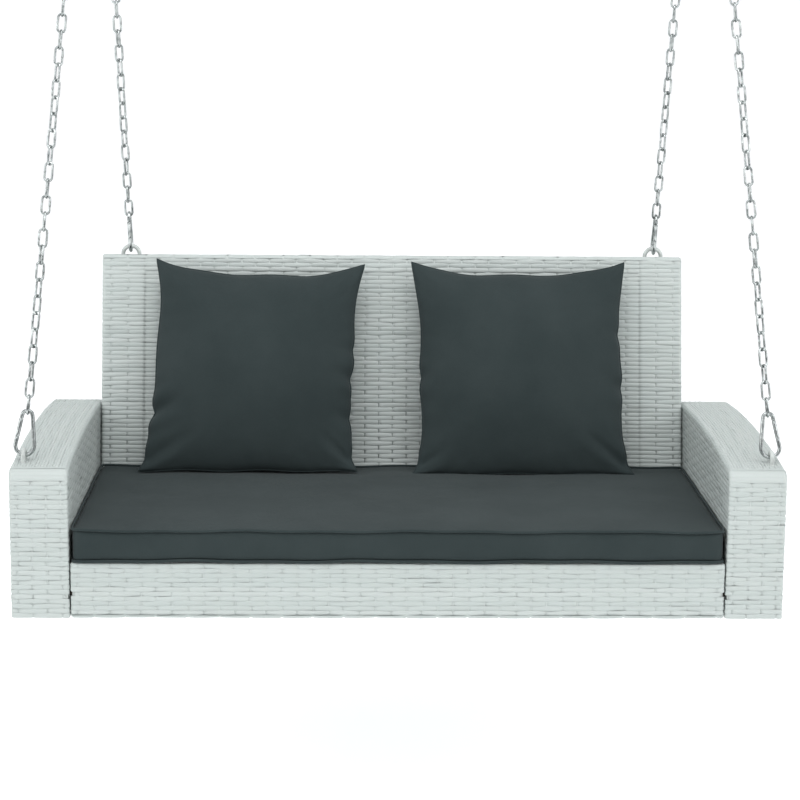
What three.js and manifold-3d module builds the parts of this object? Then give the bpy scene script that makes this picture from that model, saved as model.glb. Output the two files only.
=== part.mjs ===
// Two-seat porch swing: a woven bench hung from the ceiling on four chains.
// Millimetres, +Z up, +X to the right seen from the front, +Y towards the back.
// The origin is on the ceiling, midway between the two hangers.
import * as THREE from "three";
import { mergeVertices } from "three/addons/utils/BufferGeometryUtils.js";
import Module from "manifold-3d";

const wasm = await Module();
wasm.setup();

// Bench, measured from its underside and its front face.
const benchWidth = 1280;
const armWidth = 97;
const seamGap = 1;
const apronHeight = 94;
const seatFootDepth = 480.5;
const recline = THREE.MathUtils.degToRad(12.5);
const backFootY = 481;
const backLift = 14;
const backTopZ = 532;
const backThickness = 48;
const armFaceHeight = 232;
const armNoseRadius = 20;
const armCrestY = 330;
const armCrestZ = 267;
const armCrestDrop = 14;
const armCrestRun = 300;
const armRearFootY = 560;
const armRearTopY = 615;
const skin = 3;
const gap = 0.3;
const hookPlay = 0.8;

// Steel tube inside the woven skins.
const tube = 25;
const tubeWall = 1.5;
const drainHole = 6;
const armBars = { nose: 60, rear: 60, front: 120, drain: 200 };

// How far the arm's tube loop stays inside the arm's outline, corner by corner.
const loopInset = { foot: 5, rear: 10, top: 8, brow: { y: 40, drop: 5 }, face: 4 };
const braceEnd = { under: 2, cut: 10 };

// Cushions.
const cushionClearance = 5;
const cushionFrontY = -2;
const cushionTopZ = 150;
const cushionRound = 6;
const cushionLift = 0.5;
const pillowSide = 398;
const pillowHalf = 55;
const pillowRim = 6;
const pillowDrawIn = 0.06;
const pillowSwell = 0.7;
const pillowLean = THREE.MathUtils.degToRad(21.3);
const pillowFoot = { y: 414, z: 154 };
const pillowCentres = { left: -255, right: 233 };

// Hanging gear.
const armEye = { x: 620, y: 50, top: 277, rod: 8, radius: 10 };
const backEye = { x: 490, y: 622, top: 548.5, rod: 7.5, radius: 15.2 };
const eyeEmbed = { arm: 4.2, back: 3.5 };
const eyeSlotRoom = 1;
const legHoleLength = 40;
const hookX = 515;
const hookY = 349;
const hookHeight = 1567;
const snapLength = 80;
const snapWire = 6.5;
const snapWide = 15.5;
const snapNarrow = 8.5;
const gateRod = 6.8;
const gateStart = 6;
const gateEnd = 37;
const pivotAt = 9;
const rivetRadius = 1.2;
const rivetProud = 0.6;
const neckGap = 5.2;
const noseGap = 0.5;
const tongue = { x: 3, y: 1.1, up: 6.5, down: 3 };
const gateSlot = { x: 10, y: 1.5, top: 1, bottom: 5.5 };
const pinHoleLength = 10;
const linkWire = 4;
const linkLength = 35.2;
const linkWidth = 17;
const linkSpread = 6;
const chainPlate = 1.08;
const hangerPlate = { x: 70, y: 42, z: 5 };
const stapleRod = 8;
const stapleHalf = 15;
const stapleDrop = 30;
const stapleBend = 8;
const stapleFoot = 1.5;
const screwX = 26;
const screwRadius = 3;
const screwLength = 45;
const screwHead = { radius: 5.5, height: 3.5, overlap: 1 };
const screwHoleLength = 20;

// Bolts that join the arms to the seat and the back.
const boltRadius = 4;
const boltHead = 6.5;
const boltHeadHeight = 5;
const boltEmbed = 22;
const boltOverlap = 0.5;
const boltHoleLength = 80;
const seatBoltFront = { y: 15, z: 38 };
const seatBoltRear = { y: 400, z: 15.8 };
const backBoltHeights = [110, 210];
const seamNotch = { x: 5, y: 9, z: 10 };

const halfBench = benchWidth / 2;
const armInner = halfBench - armWidth;
const seatHalf = armInner - seamGap;
const backSlope = Math.tan(recline);
const backLength = (backTopZ - backLift) / Math.cos(recline);
const snapTopBow = snapLength - snapWire;
const pivotDrop = hangerPlate.z + stapleDrop;
const snapTopToPivot = snapWire / 2 + gap + stapleRod / 2;
const hangHeight = hookHeight + snapTopBow - snapTopToPivot + pivotDrop;

const materials = {
  wicker: new THREE.MeshStandardMaterial({ color: 0xcdd6d2, roughness: 0.55, metalness: 0 }),
  frame: new THREE.MeshStandardMaterial({ color: 0xd5dad8, roughness: 0.4, metalness: 0.3 }),
  zinc: new THREE.MeshStandardMaterial({ color: 0xb9c0c2, roughness: 0.28, metalness: 1 }),
  bolt: new THREE.MeshStandardMaterial({ color: 0x3a3d3e, roughness: 0.5, metalness: 0.8 }),
  fabric: new THREE.MeshStandardMaterial({ color: 0x3b4344, roughness: 0.9, metalness: 0 }),
};

const object = new THREE.Group();
const bench = new THREE.Group();
bench.position.set(0, -hookY, -hangHeight);
object.add(bench);

// ---- solids ----

function solid(geometry) {
  const bare = geometry.clone();
  bare.deleteAttribute("normal");
  bare.deleteAttribute("uv");
  const merged = mergeVertices(bare, 1e-3);
  return new wasm.Manifold(new wasm.Mesh({
    numProp: 3,
    vertProperties: new Float32Array(merged.attributes.position.array),
    triVerts: new Uint32Array(merged.index.array),
  }));
}

function surface(body) {
  const mesh = body.getMesh();
  const geometry = new THREE.BufferGeometry();
  const positions = new Float32Array(mesh.vertProperties);
  geometry.setAttribute("position", new THREE.BufferAttribute(positions, mesh.numProp));
  geometry.setIndex(new THREE.BufferAttribute(new Uint32Array(mesh.triVerts), 1));
  geometry.computeVertexNormals();
  return geometry;
}

function add(parent, name, body, material) {
  const mesh = new THREE.Mesh(surface(body), material);
  mesh.name = name;
  parent.add(mesh);
  return mesh;
}

// A box given by its lowest and highest corners.
function block(x0, y0, z0, x1, y1, z1) {
  const geometry = new THREE.BoxGeometry(x1 - x0, y1 - y0, z1 - z0);
  geometry.translate((x0 + x1) / 2, (y0 + y1) / 2, (z0 + z1) / 2);
  return solid(geometry);
}

// A round bar along X, Y or Z from a point.
function bar(axis, radius, length, x, y, z, sides = 12) {
  const geometry = new THREE.CylinderGeometry(radius, radius, length, sides);
  if (axis === "x") geometry.rotateZ(-Math.PI / 2);
  if (axis === "z") geometry.rotateX(Math.PI / 2);
  geometry.translate(x, y, z);
  return solid(geometry);
}

// An outline in Y and Z, pushed along X.
function prism(outline, x0, x1) {
  const shape = new THREE.Shape(outline.map(([y, z]) => new THREE.Vector2(y, z)));
  const geometry = new THREE.ExtrudeGeometry(shape, { depth: x1 - x0, bevelEnabled: false });
  geometry.applyMatrix4(new THREE.Matrix4().set(
    0, 0, 1, x0,
    1, 0, 0, 0,
    0, 1, 0, 0,
    0, 0, 0, 1,
  ));
  return solid(geometry);
}

// A round wire swept along points.
function wire(points, radius, steps, sides = 8) {
  const path = new THREE.CatmullRomCurve3(points, false, "centripetal");
  const section = new THREE.Shape();
  for (let i = 0; i < sides; i += 1) {
    const turn = (2 * Math.PI * (i + 0.5)) / sides;
    const [u, v] = [radius * Math.cos(turn), radius * Math.sin(turn)];
    if (i === 0) section.moveTo(u, v);
    else section.lineTo(u, v);
  }
  return solid(new THREE.ExtrudeGeometry(section, { steps, extrudePath: path, bevelEnabled: false }));
}

// The outline moved inwards by a distance; the outline is convex and runs anticlockwise.
function inset(outline, distance) {
  const count = outline.length;
  return outline.map((point, i) => {
    const before = outline[(i + count - 1) % count];
    const after = outline[(i + 1) % count];
    const one = new THREE.Vector2(point[0] - before[0], point[1] - before[1]).normalize();
    const two = new THREE.Vector2(after[0] - point[0], after[1] - point[1]).normalize();
    const normal = new THREE.Vector2(-one.y - two.y, one.x + two.x).normalize();
    const reach = distance / Math.max(0.3, normal.dot(new THREE.Vector2(-one.y, one.x)));
    return [point[0] + normal.x * reach, point[1] + normal.y * reach];
  });
}

function union(parts) {
  return parts.reduce((sum, part) => sum.add(part));
}

// Welded square tube: boxes joined outside, and their bores joined inside.
function weldedTube(runs, drains) {
  const outer = union(runs.map((r) => block(...r)));
  const bore = union(runs.map((r) => block(
    r[0] + tubeWall, r[1] + tubeWall, r[2] + tubeWall,
    r[3] - tubeWall, r[4] - tubeWall, r[5] - tubeWall,
  )));
  return outer.subtract(union([bore, ...drains]));
}

function boltHole(side, y, z) {
  return bar("x", boltRadius + gap, boltHoleLength, side * armInner, y, z);
}

// ---- seat ----

const seatTopDepth = seatFootDepth + apronHeight * backSlope;
const seatOutline = [
  [0, 0],
  [seatFootDepth, 0],
  [seatTopDepth, apronHeight],
  [0, apronHeight],
];

function seatBoltCuts() {
  return [-1, 1].flatMap((side) => [seatBoltFront, seatBoltRear].map(
    (at) => boltHole(side, at.y, at.z),
  ));
}

function makeNotch(side) {
  const x = side * (armInner - seamGap / 2);
  const z = seatBoltFront.z;
  return block(
    x - seamNotch.x, -1, z - seamNotch.z / 2,
    x + seamNotch.x, seamNotch.y, z + seamNotch.z / 2,
  );
}

// The skin wraps the apron, the deck, the sides and the lowest tube; its underside is open.
function makeSeatSkin() {
  const lip = tube + 2 * skin;
  const outer = prism(seatOutline, -seatHalf, seatHalf);
  const inner = prism(inset(seatOutline, skin), skin - seatHalf, seatHalf - skin);
  const mouth = block(lip - seatHalf, lip, -1, seatHalf - lip, seatFootDepth - lip, skin + 1);
  return outer.subtract(union([inner, mouth, makeNotch(-1), makeNotch(1), ...seatBoltCuts()]));
}

function makeSeatFrame() {
  const clear = skin + gap;
  const x1 = seatHalf - clear;
  const y0 = clear;
  const y1 = seatFootDepth - clear - gap;
  const low = clear;
  const high = apronHeight - clear;
  const runs = [];
  for (const z of [low, high - tube]) {
    runs.push([-x1, y0, z, x1, y0 + tube, z + tube]);
    runs.push([-x1, y1 - tube, z, x1, y1, z + tube]);
    runs.push([-x1, y0, z, tube - x1, y1, z + tube]);
    runs.push([x1 - tube, y0, z, x1, y1, z + tube]);
  }
  for (const x of [-x1, x1 - tube]) {
    for (const y of [y0, y1 - tube]) runs.push([x, y, low, x + tube, y + tube, high]);
  }
  for (const x of [-x1 / 2, 0, x1 / 2]) {
    runs.push([x - tube / 2, y0, high - tube, x + tube / 2, y1, high]);
  }
  const drain = block(-drainHole, y0 + tube / 2 - drainHole / 2, low - 1,
    drainHole, y0 + tube / 2 + drainHole / 2, low + tube / 2);
  return weldedTube(runs, [drain]).subtract(union(seatBoltCuts()));
}

add(bench, "seat_wicker", makeSeatSkin(), materials.wicker);
add(bench, "seat_frame", makeSeatFrame(), materials.frame);

// ---- back ----

// The backrest is drawn upright in its own group, which leans back.
const back = new THREE.Group();
back.position.set(0, backFootY + backLift * backSlope, backLift);
back.rotation.x = -recline;
bench.add(back);

const backPost = { y0: (backThickness - tube) / 2, y1: (backThickness + tube) / 2 };

function backBoltCuts() {
  return [-1, 1].flatMap((side) => backBoltHeights.map(
    (z) => boltHole(side, backThickness / 2, z),
  ));
}

// The eye legs pass through slots in the skin's top edge.
function eyeSlots() {
  const half = backEye.rod / 2 + eyeSlotRoom;
  const room = tube / 2;
  return [-1, 1].flatMap((side) => [-1, 1].map((leg) => {
    const x = side * backEye.x + leg * backEye.radius;
    return block(x - half, backThickness / 2 - room, backLength - 2 * skin,
      x + half, backThickness / 2 + room, backLength + 1);
  }));
}

function makeBackSkin() {
  const outer = block(-seatHalf, 0, 0, seatHalf, backThickness, backLength);
  const inner = block(skin - seatHalf, skin, skin, seatHalf - skin, backThickness - skin,
    backLength - skin);
  return outer.subtract(union([inner, ...backBoltCuts(), ...eyeSlots()]));
}

function makeBackFrame() {
  const clear = skin + gap;
  const x1 = seatHalf - clear;
  const z1 = backLength - 2 * skin - gap;
  const { y0, y1 } = backPost;
  const runs = [
    [-x1, y0, clear, tube - x1, y1, z1],
    [x1 - tube, y0, clear, x1, y1, z1],
    [-x1, y0, clear, x1, y1, clear + tube],
    [-x1, y0, z1 - tube, x1, y1, z1],
  ];
  for (const x of [-x1 / 3, x1 / 3]) {
    runs.push([x - tube / 2, y0, clear, x + tube / 2, y1, z1]);
  }
  const middle = backThickness / 2;
  const drain = block(-drainHole, middle - drainHole / 2, clear - 1,
    drainHole, middle + drainHole / 2, clear + tube / 2);
  return weldedTube(runs, [drain]).subtract(union(backBoltCuts()));
}

add(back, "back_wicker", makeBackSkin(), materials.wicker);
add(back, "back_frame", makeBackFrame(), materials.frame);

// ---- arms ----

function armTop(y) {
  return armCrestZ - armCrestDrop * ((y - armCrestY) / armCrestRun) ** 2;
}

// The arm's side outline, anticlockwise from the front foot.
function armOutline() {
  const outline = [[0, 0], [armRearFootY, 0]];
  const topSteps = 8;
  for (let i = 0; i <= topSteps; i += 1) {
    const y = THREE.MathUtils.lerp(armRearTopY, armNoseRadius, i / topSteps);
    outline.push([y, armTop(y)]);
  }
  const noseSteps = 3;
  const rise = armTop(armNoseRadius) - armFaceHeight;
  for (let i = 1; i <= noseSteps; i += 1) {
    const turn = (Math.PI / 2) * (i / noseSteps);
    outline.push([armNoseRadius * (1 - Math.sin(turn)), armFaceHeight + rise * Math.cos(turn)]);
  }
  return outline;
}

// The tube loop keeps clear of the rounded nose.
const armLoop = [
  [skin + gap, skin + gap],
  [armRearFootY - loopInset.foot, skin + gap],
  [armRearTopY - loopInset.rear, armTop(armRearTopY) - loopInset.top],
  [armCrestY, armCrestZ - loopInset.top],
  [loopInset.brow.y, armTop(loopInset.brow.y) - loopInset.brow.drop],
  [skin + gap, armFaceHeight - loopInset.face],
];

function backPoint(z) {
  return {
    y: backFootY + backLift * backSlope + backThickness / 2 * Math.cos(recline)
      + z * Math.sin(recline),
    z: backLift - backThickness / 2 * Math.sin(recline) + z * Math.cos(recline),
  };
}

function armBolts() {
  return [seatBoltFront, seatBoltRear, ...backBoltHeights.map(backPoint)];
}

// The brace behind the backrest's edge, from the bottom tube to the top one.
function braceOutline(width) {
  const low = backPoint(0);
  const high = backPoint(armCrestZ - backLift - braceEnd.under);
  const half = width / 2 / Math.cos(recline);
  return [
    [low.y - half, tube],
    [low.y + half, tube],
    [high.y + half, high.z - braceEnd.cut],
    [high.y - half, high.z - braceEnd.cut],
  ];
}

function makeArmFrame(side) {
  const near = armInner + skin + gap;
  const far = halfBench - skin - gap;
  const span = (a, b) => (side > 0 ? [a, b] : [-b, -a]);
  const ring = (shrink, x0, x1) => prism(inset(armLoop, shrink), x0, x1)
    .subtract(prism(inset(armLoop, tube - shrink), x0 - 1, x1 + 1));
  const loops = (shrink) => [[near, near + tube], [far - tube, far]].map(([a, b]) => {
    const [x0, x1] = span(a + shrink, b - shrink);
    return ring(shrink, x0, x1);
  });
  const brace = (shrink) => {
    const [x0, x1] = span(near + shrink, near + tube - shrink);
    return prism(braceOutline(tube - 2 * shrink), x0, x1);
  };
  const crossBars = (shrink) => [
    [skin + gap, armBars.nose],
    [skin + gap, armFaceHeight - armBars.nose],
    [armRearFootY - armBars.rear, skin + gap],
    [armBars.front, skin + gap],
  ].map(([y, z]) => {
    const [x0, x1] = span(near + 2 * tubeWall, far - 2 * tubeWall);
    return block(x0, y + shrink, z + shrink, x1, y + tube - shrink, z + tube - shrink);
  });
  const outer = union([...loops(0), brace(0), ...crossBars(0)]);
  const bore = union([...loops(tubeWall), brace(tubeWall), ...crossBars(tubeWall)]);
  const [d0, d1] = span(far - tube / 2, far - tube / 2 + drainHole);
  const drain = block(d0, armBars.drain, 0, d1, armBars.drain + drainHole, tube / 2);
  const holes = armBolts().map((at) => boltHole(side, at.y, at.z));
  return outer.subtract(union([bore, drain, ...holes]));
}

function makeArmSkin(side) {
  const outline = armOutline();
  const [x0, x1] = side > 0 ? [armInner, halfBench] : [-halfBench, -armInner];
  const outer = prism(outline, x0, x1);
  const inner = prism(inset(outline, skin), x0 + skin, x1 - skin);
  const legRadius = armEye.rod / 2 + eyeSlotRoom;
  const legs = [-1, 1].map((leg) => bar("z", legRadius, legHoleLength,
    side * armEye.x, armEye.y + leg * armEye.radius, armTop(armEye.y)));
  const holes = armBolts().map((at) => boltHole(side, at.y, at.z));
  return outer.subtract(union([inner, makeNotch(side), ...legs, ...holes]));
}

// A rod bent to an arch, in the plane of Y and Z or of X and Z.
function makeEye(eye, plane, footZ) {
  const points = [];
  const topZ = eye.top - eye.rod / 2;
  const bendZ = topZ - eye.radius;
  const at = (across, z) => (plane === "yz"
    ? new THREE.Vector3(0, across, z)
    : new THREE.Vector3(across, 0, z));
  points.push(at(-eye.radius, footZ), at(-eye.radius, (footZ + bendZ) / 2));
  const bendSteps = 8;
  for (let i = 0; i <= bendSteps; i += 1) {
    const turn = Math.PI * (1 - i / bendSteps);
    points.push(at(eye.radius * Math.cos(turn), bendZ + eye.radius * Math.sin(turn)));
  }
  points.push(at(eye.radius, (footZ + bendZ) / 2), at(eye.radius, footZ));
  return wire(points, eye.rod / 2, 18);
}

function boltGeometry(inwards) {
  const head = bar("x", boltHead, boltHeadHeight, -inwards * boltHeadHeight / 2, 0, 0, 6);
  const reach = tube + 2 * (skin + gap) + seamGap + boltEmbed;
  return head.add(bar("x", boltRadius, reach, inwards * (reach / 2 - boltOverlap), 0, 0));
}

function addBolt(name, side, y, z) {
  const bolt = add(bench, name, boltGeometry(side), materials.bolt);
  bolt.position.set(side * (seatHalf - skin - tube - 2 * gap), y, z);
}

for (const [label, side] of [["left", -1], ["right", 1]]) {
  add(bench, `arm_wicker_${label}`, makeArmSkin(side), materials.wicker);
  add(bench, `arm_frame_${label}`, makeArmFrame(side), materials.frame);
  const armFoot = armTop(armEye.y) - eyeEmbed.arm;
  const eye = add(bench, `arm_eye_${label}`, makeEye(armEye, "yz", armFoot), materials.frame);
  eye.position.set(side * armEye.x, armEye.y, 0);
  const ringFoot = backTopZ - eyeEmbed.back
    - (backEye.y - backFootY - backTopZ * backSlope) * backSlope;
  const ring = add(bench, `back_eye_${label}`, makeEye(backEye, "xz", ringFoot), materials.frame);
  ring.position.set(side * backEye.x, backEye.y, 0);
  addBolt(`seat_bolt_front_${label}`, side, seatBoltFront.y, seatBoltFront.z);
  addBolt(`seat_bolt_rear_${label}`, side, seatBoltRear.y, seatBoltRear.z);
  const [lower, upper] = backBoltHeights.map(backPoint);
  addBolt(`back_bolt_lower_${label}`, side, lower.y, lower.z);
  addBolt(`back_bolt_upper_${label}`, side, upper.y, upper.z);
}

// ---- cushions ----

function makeSeatCushion() {
  const low = apronHeight + cushionLift;
  const lean = (cushionTopZ - low) * backSlope;
  const rear = seatTopDepth - cushionClearance / 2;
  const round = cushionRound;
  const half = seatHalf - cushionClearance;
  return prism([
    [cushionFrontY + round, low],
    [rear - round, low],
    [rear, low + round],
    [rear + lean - round, cushionTopZ - round],
    [rear + lean - 2 * round, cushionTopZ],
    [cushionFrontY + round, cushionTopZ],
    [cushionFrontY, cushionTopZ - round],
    [cushionFrontY, low + round],
  ], -half, half);
}

// A plump square: full in the middle, thin at its seam, with sides drawn in between the corners.
function makePillow() {
  const cells = 8;
  const geometry = new THREE.BoxGeometry(pillowSide, pillowRim, pillowSide, cells, 1, cells);
  const position = geometry.attributes.position;
  const half = pillowSide / 2;
  for (let i = 0; i < position.count; i += 1) {
    const u = position.getX(i) / half;
    const v = position.getZ(i) / half;
    const full = Math.max(0, (1 - u * u) * (1 - v * v)) ** pillowSwell;
    const swell = full * (pillowHalf - pillowRim / 2);
    position.setX(i, position.getX(i) * (1 - pillowDrawIn * (1 - v * v) * Math.abs(u)));
    position.setZ(i, position.getZ(i) * (1 - pillowDrawIn * (1 - u * u) * Math.abs(v)));
    position.setY(i, position.getY(i) + Math.sign(position.getY(i)) * swell);
  }
  geometry.translate(0, 0, half);
  return solid(geometry);
}

add(bench, "seat_cushion", makeSeatCushion(), materials.fabric);
for (const [label, x] of Object.entries(pillowCentres)) {
  const pillow = add(bench, `pillow_${label}`, makePillow(), materials.fabric);
  pillow.position.set(x, pillowFoot.y, pillowFoot.z);
  pillow.rotation.x = -pillowLean;
}

// ---- snap hooks ----

// A snap hook stands in X and Z, its wide bow at the bottom. Heights count from the centre
// of the wire in the wide bow, and the gate is on the side of -X.
const wideZ = snapWide;
const narrowZ = snapTopBow - snapNarrow;
const taper = Math.asin((snapWide - snapNarrow) / (narrowZ - wideZ));

function gateSide(distance) {
  const topX = -snapNarrow * Math.cos(taper);
  const topZ = narrowZ + snapNarrow * Math.sin(taper);
  return [topX - distance * Math.sin(taper), topZ - distance * Math.cos(taper)];
}

// A frame on the gate's line: +Z points down the gate and +X across it, inwards.
function onGate(body, distance) {
  const [x, z] = gateSide(distance);
  const turn = new THREE.Matrix4().makeRotationY(Math.PI + taper);
  turn.setPosition(x, 0, z);
  return body.transform(turn.elements);
}

function makeSnapBody() {
  const outline = new THREE.Path();
  const ends = { nose: gateSide(gateEnd + noseGap), neck: gateSide(pivotAt - neckGap) };
  outline.moveTo(...ends.nose);
  outline.lineTo(-snapWide * Math.cos(taper), wideZ + snapWide * Math.sin(taper));
  outline.absarc(0, wideZ, snapWide, Math.PI - taper, 2 * Math.PI + taper, false);
  outline.lineTo(snapNarrow * Math.cos(taper), narrowZ + snapNarrow * Math.sin(taper));
  outline.absarc(0, narrowZ, snapNarrow, taper, Math.PI - taper, false);
  outline.lineTo(...ends.neck);
  const pathPoints = 40;
  const points = outline.getSpacedPoints(pathPoints).map((p) => new THREE.Vector3(p.x, 0, p.y));
  const body = wire(points, snapWire / 2, 30, 6);
  const { x, y, up, down } = tongue;
  const lug = onGate(block(-x, -y, -up, x, y, down), pivotAt);
  const hole = onGate(bar("y", rivetRadius + gap, pinHoleLength, 0, 0, 0, 8), pivotAt);
  return body.add(lug).subtract(hole);
}

function makeGate() {
  const length = gateEnd - gateStart;
  const rod = bar("z", gateRod / 2, length, 0, 0, gateStart - pivotAt + length / 2, 8);
  const { x, y, top, bottom } = gateSlot;
  const slot = block(-x, -y, gateStart - pivotAt - top, x, y, bottom);
  const hole = bar("y", rivetRadius + gap, pinHoleLength, 0, 0, 0, 8);
  return onGate(rod.subtract(slot).subtract(hole), pivotAt);
}

function makeRivet() {
  return onGate(bar("y", rivetRadius, gateRod + rivetProud, 0, 0, 0, 8), pivotAt);
}

function addSnap(parent, label, turn) {
  const group = new THREE.Group();
  group.rotation.z = turn;
  parent.add(group);
  add(group, `snap_body_${label}`, makeSnapBody(), materials.zinc);
  add(group, `snap_gate_${label}`, makeGate(), materials.zinc);
  add(group, `snap_rivet_${label}`, makeRivet(), materials.zinc);
}

// ---- chains ----

// One welded link in X and Z, its lowest wire centred at z = 0: a ring whose upper half
// is drawn up.
function makeLink() {
  const bend = (linkWidth - linkWire) / 2;
  const bendSteps = 16;
  const geometry = new THREE.TorusGeometry(bend, linkWire / 2, 6, bendSteps);
  geometry.rotateZ(Math.PI / bendSteps);
  geometry.rotateX(Math.PI / 2);
  const position = geometry.attributes.position;
  for (let i = 0; i < position.count; i += 1) {
    const z = position.getZ(i);
    position.setZ(i, z + bend + (z > 0 ? linkLength - linkWidth : 0));
  }
  return solid(geometry);
}

// A run of chain: its end links at their real shape, and between them a cross of thin plates
// as wide as the links and as heavy as the steel in them.
function makeChain(low, high, firstTurn) {
  const linkReach = linkLength - linkWire;
  const first = makeLink().rotate([0, 0, firstTurn]).translate([0, 0, low]);
  const last = makeLink().translate([0, 0, high - linkReach]);
  const from = low + linkReach - 1;
  const to = high - linkReach + 1;
  const wide = linkWidth / 2;
  const thin = chainPlate / 2;
  const cross = [block(-wide, -thin, from, wide, thin, to), block(-thin, -wide, from, thin, wide, to)];
  return union([first, last, ...cross]);
}

const firstLinkZ = snapTopBow - snapWire / 2 - gap - linkWire / 2;
const linkHang = snapWide - (snapWire / 2 + gap + linkWire / 2);
const linkTurn = Math.asin(linkSpread / snapWide);

// A hanging run from an eye up to the hook: its +Z points along the pull.
function addRun(label, side, eye, towards, snapTurn, firstTurn) {
  const start = new THREE.Vector3(side * eye.x, eye.y, eye.top - eye.rod - hookPlay - snapWire / 2);
  const end = new THREE.Vector3(
    side * hookX,
    hookY + towards * linkHang * Math.sin(linkTurn),
    hookHeight + snapWide - linkHang * Math.cos(linkTurn),
  );
  const pull = end.clone().sub(start);
  const up = pull.clone().normalize();
  const across = new THREE.Vector3(1, 0, 0).addScaledVector(up, -up.x).normalize();
  const run = new THREE.Group();
  run.position.copy(start);
  const basis = new THREE.Matrix4().makeBasis(across, up.clone().cross(across), up);
  run.quaternion.setFromRotationMatrix(basis);
  bench.add(run);
  addSnap(run, label, snapTurn);
  add(run, `chain_${label}`, makeChain(firstLinkZ, pull.length(), firstTurn), materials.zinc);
}

// ---- ceiling ----

function makeHanger() {
  const plate = block(
    -hangerPlate.x / 2, -hangerPlate.y / 2, -hangerPlate.z,
    hangerPlate.x / 2, hangerPlate.y / 2, 0,
  );
  const bend = stapleBend;
  const points = [];
  const foot = [stapleFoot - hangerPlate.z, -hangerPlate.z - stapleDrop / 3];
  for (const z of foot) points.push(new THREE.Vector3(-stapleHalf, 0, z));
  for (const [start, centre] of [[Math.PI, bend - stapleHalf], [1.5 * Math.PI, stapleHalf - bend]]) {
    for (let i = 0; i <= 4; i += 1) {
      const turn = start + (Math.PI / 2) * (i / 4);
      points.push(new THREE.Vector3(
        centre + bend * Math.cos(turn), 0, bend - pivotDrop + bend * Math.sin(turn),
      ));
    }
  }
  for (const z of foot.reverse()) points.push(new THREE.Vector3(stapleHalf, 0, z));
  const holes = [-1, 1].map((end) => bar("z", screwRadius + gap, screwHoleLength, end * screwX, 0, 0));
  return plate.add(wire(points, stapleRod / 2, 22)).subtract(union(holes));
}

function makeScrew() {
  const { radius, height, overlap } = screwHead;
  const top = -hangerPlate.z - gap;
  return bar("z", radius, height, 0, 0, top - height / 2)
    .add(bar("z", screwRadius, screwLength, 0, 0, top - overlap + screwLength / 2));
}

for (const [label, side] of [["left", -1], ["right", 1]]) {
  const frontSnapTurn = side > 0 ? Math.PI : 0;
  addRun(`front_${label}`, side, armEye, -1, frontSnapTurn, 90);
  addRun(`rear_${label}`, side, backEye, 1, Math.PI / 2, 0);
  const top = new THREE.Group();
  top.position.set(side * hookX, hookY, hookHeight);
  bench.add(top);
  addSnap(top, `top_${label}`, Math.PI / 2);
  const hanger = add(object, `ceiling_hanger_${label}`, makeHanger(), materials.zinc);
  hanger.position.x = side * hookX;
  for (const [end, place] of [["outer", side], ["inner", -side]]) {
    const screw = add(object, `hanger_screw_${label}_${end}`, makeScrew(), materials.zinc);
    screw.position.x = side * hookX + place * screwX;
  }
}

export default object;
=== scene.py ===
"""Two-seat porch swing: woven bench, cushions, snap hooks and chain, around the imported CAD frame."""

import math

import bpy
import numpy as np
from mathutils import Matrix, Vector


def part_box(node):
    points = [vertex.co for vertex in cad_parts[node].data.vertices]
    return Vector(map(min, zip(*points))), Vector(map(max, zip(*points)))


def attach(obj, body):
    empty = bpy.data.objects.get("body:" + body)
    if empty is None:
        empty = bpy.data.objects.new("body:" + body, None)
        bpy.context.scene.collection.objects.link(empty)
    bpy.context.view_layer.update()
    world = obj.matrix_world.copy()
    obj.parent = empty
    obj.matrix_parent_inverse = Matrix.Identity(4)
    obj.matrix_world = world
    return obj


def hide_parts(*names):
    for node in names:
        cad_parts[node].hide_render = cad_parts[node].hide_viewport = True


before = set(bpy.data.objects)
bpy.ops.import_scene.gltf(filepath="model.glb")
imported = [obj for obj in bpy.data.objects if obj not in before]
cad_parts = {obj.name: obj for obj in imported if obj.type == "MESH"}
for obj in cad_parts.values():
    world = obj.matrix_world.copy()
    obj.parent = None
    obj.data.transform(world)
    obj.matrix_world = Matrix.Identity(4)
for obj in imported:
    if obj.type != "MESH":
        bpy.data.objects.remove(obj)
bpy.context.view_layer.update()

# ---- the bench's own frame: millimetres from its front, its middle and its underside ----

MM = 0.001
arm_low, arm_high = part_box("arm_wicker_right")
ORIGIN = np.array([0.0, arm_low.y, arm_low.z])
OUTER = arm_high.x / MM
INNER = arm_low.x / MM
SEAT_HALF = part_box("seat_wicker")[1].x / MM
RECLINE = math.radians(12.5)
BACK_THICK = 48.0
back_low, back_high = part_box("back_wicker")
BACK_ORIGIN = np.array([0.0, (back_low.y - ORIGIN[1]) / MM, 0.0])
BACK_LENGTH = (
    (back_high.y - back_low.y) / MM - BACK_THICK * math.cos(RECLINE)
) / math.sin(RECLINE)
BACK_ORIGIN[2] = (back_high.z - ORIGIN[2]) / MM - BACK_LENGTH * math.cos(RECLINE)
BACK_Y = np.array([0.0, math.cos(RECLINE), -math.sin(RECLINE)])
BACK_Z = np.array([0.0, math.sin(RECLINE), math.cos(RECLINE)])
X_AXIS = np.array([1.0, 0.0, 0.0])
Y_AXIS = np.array([0.0, 1.0, 0.0])
Z_AXIS = np.array([0.0, 0.0, 1.0])

rng = np.random.default_rng(11)


# ---- meshes ----


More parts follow.
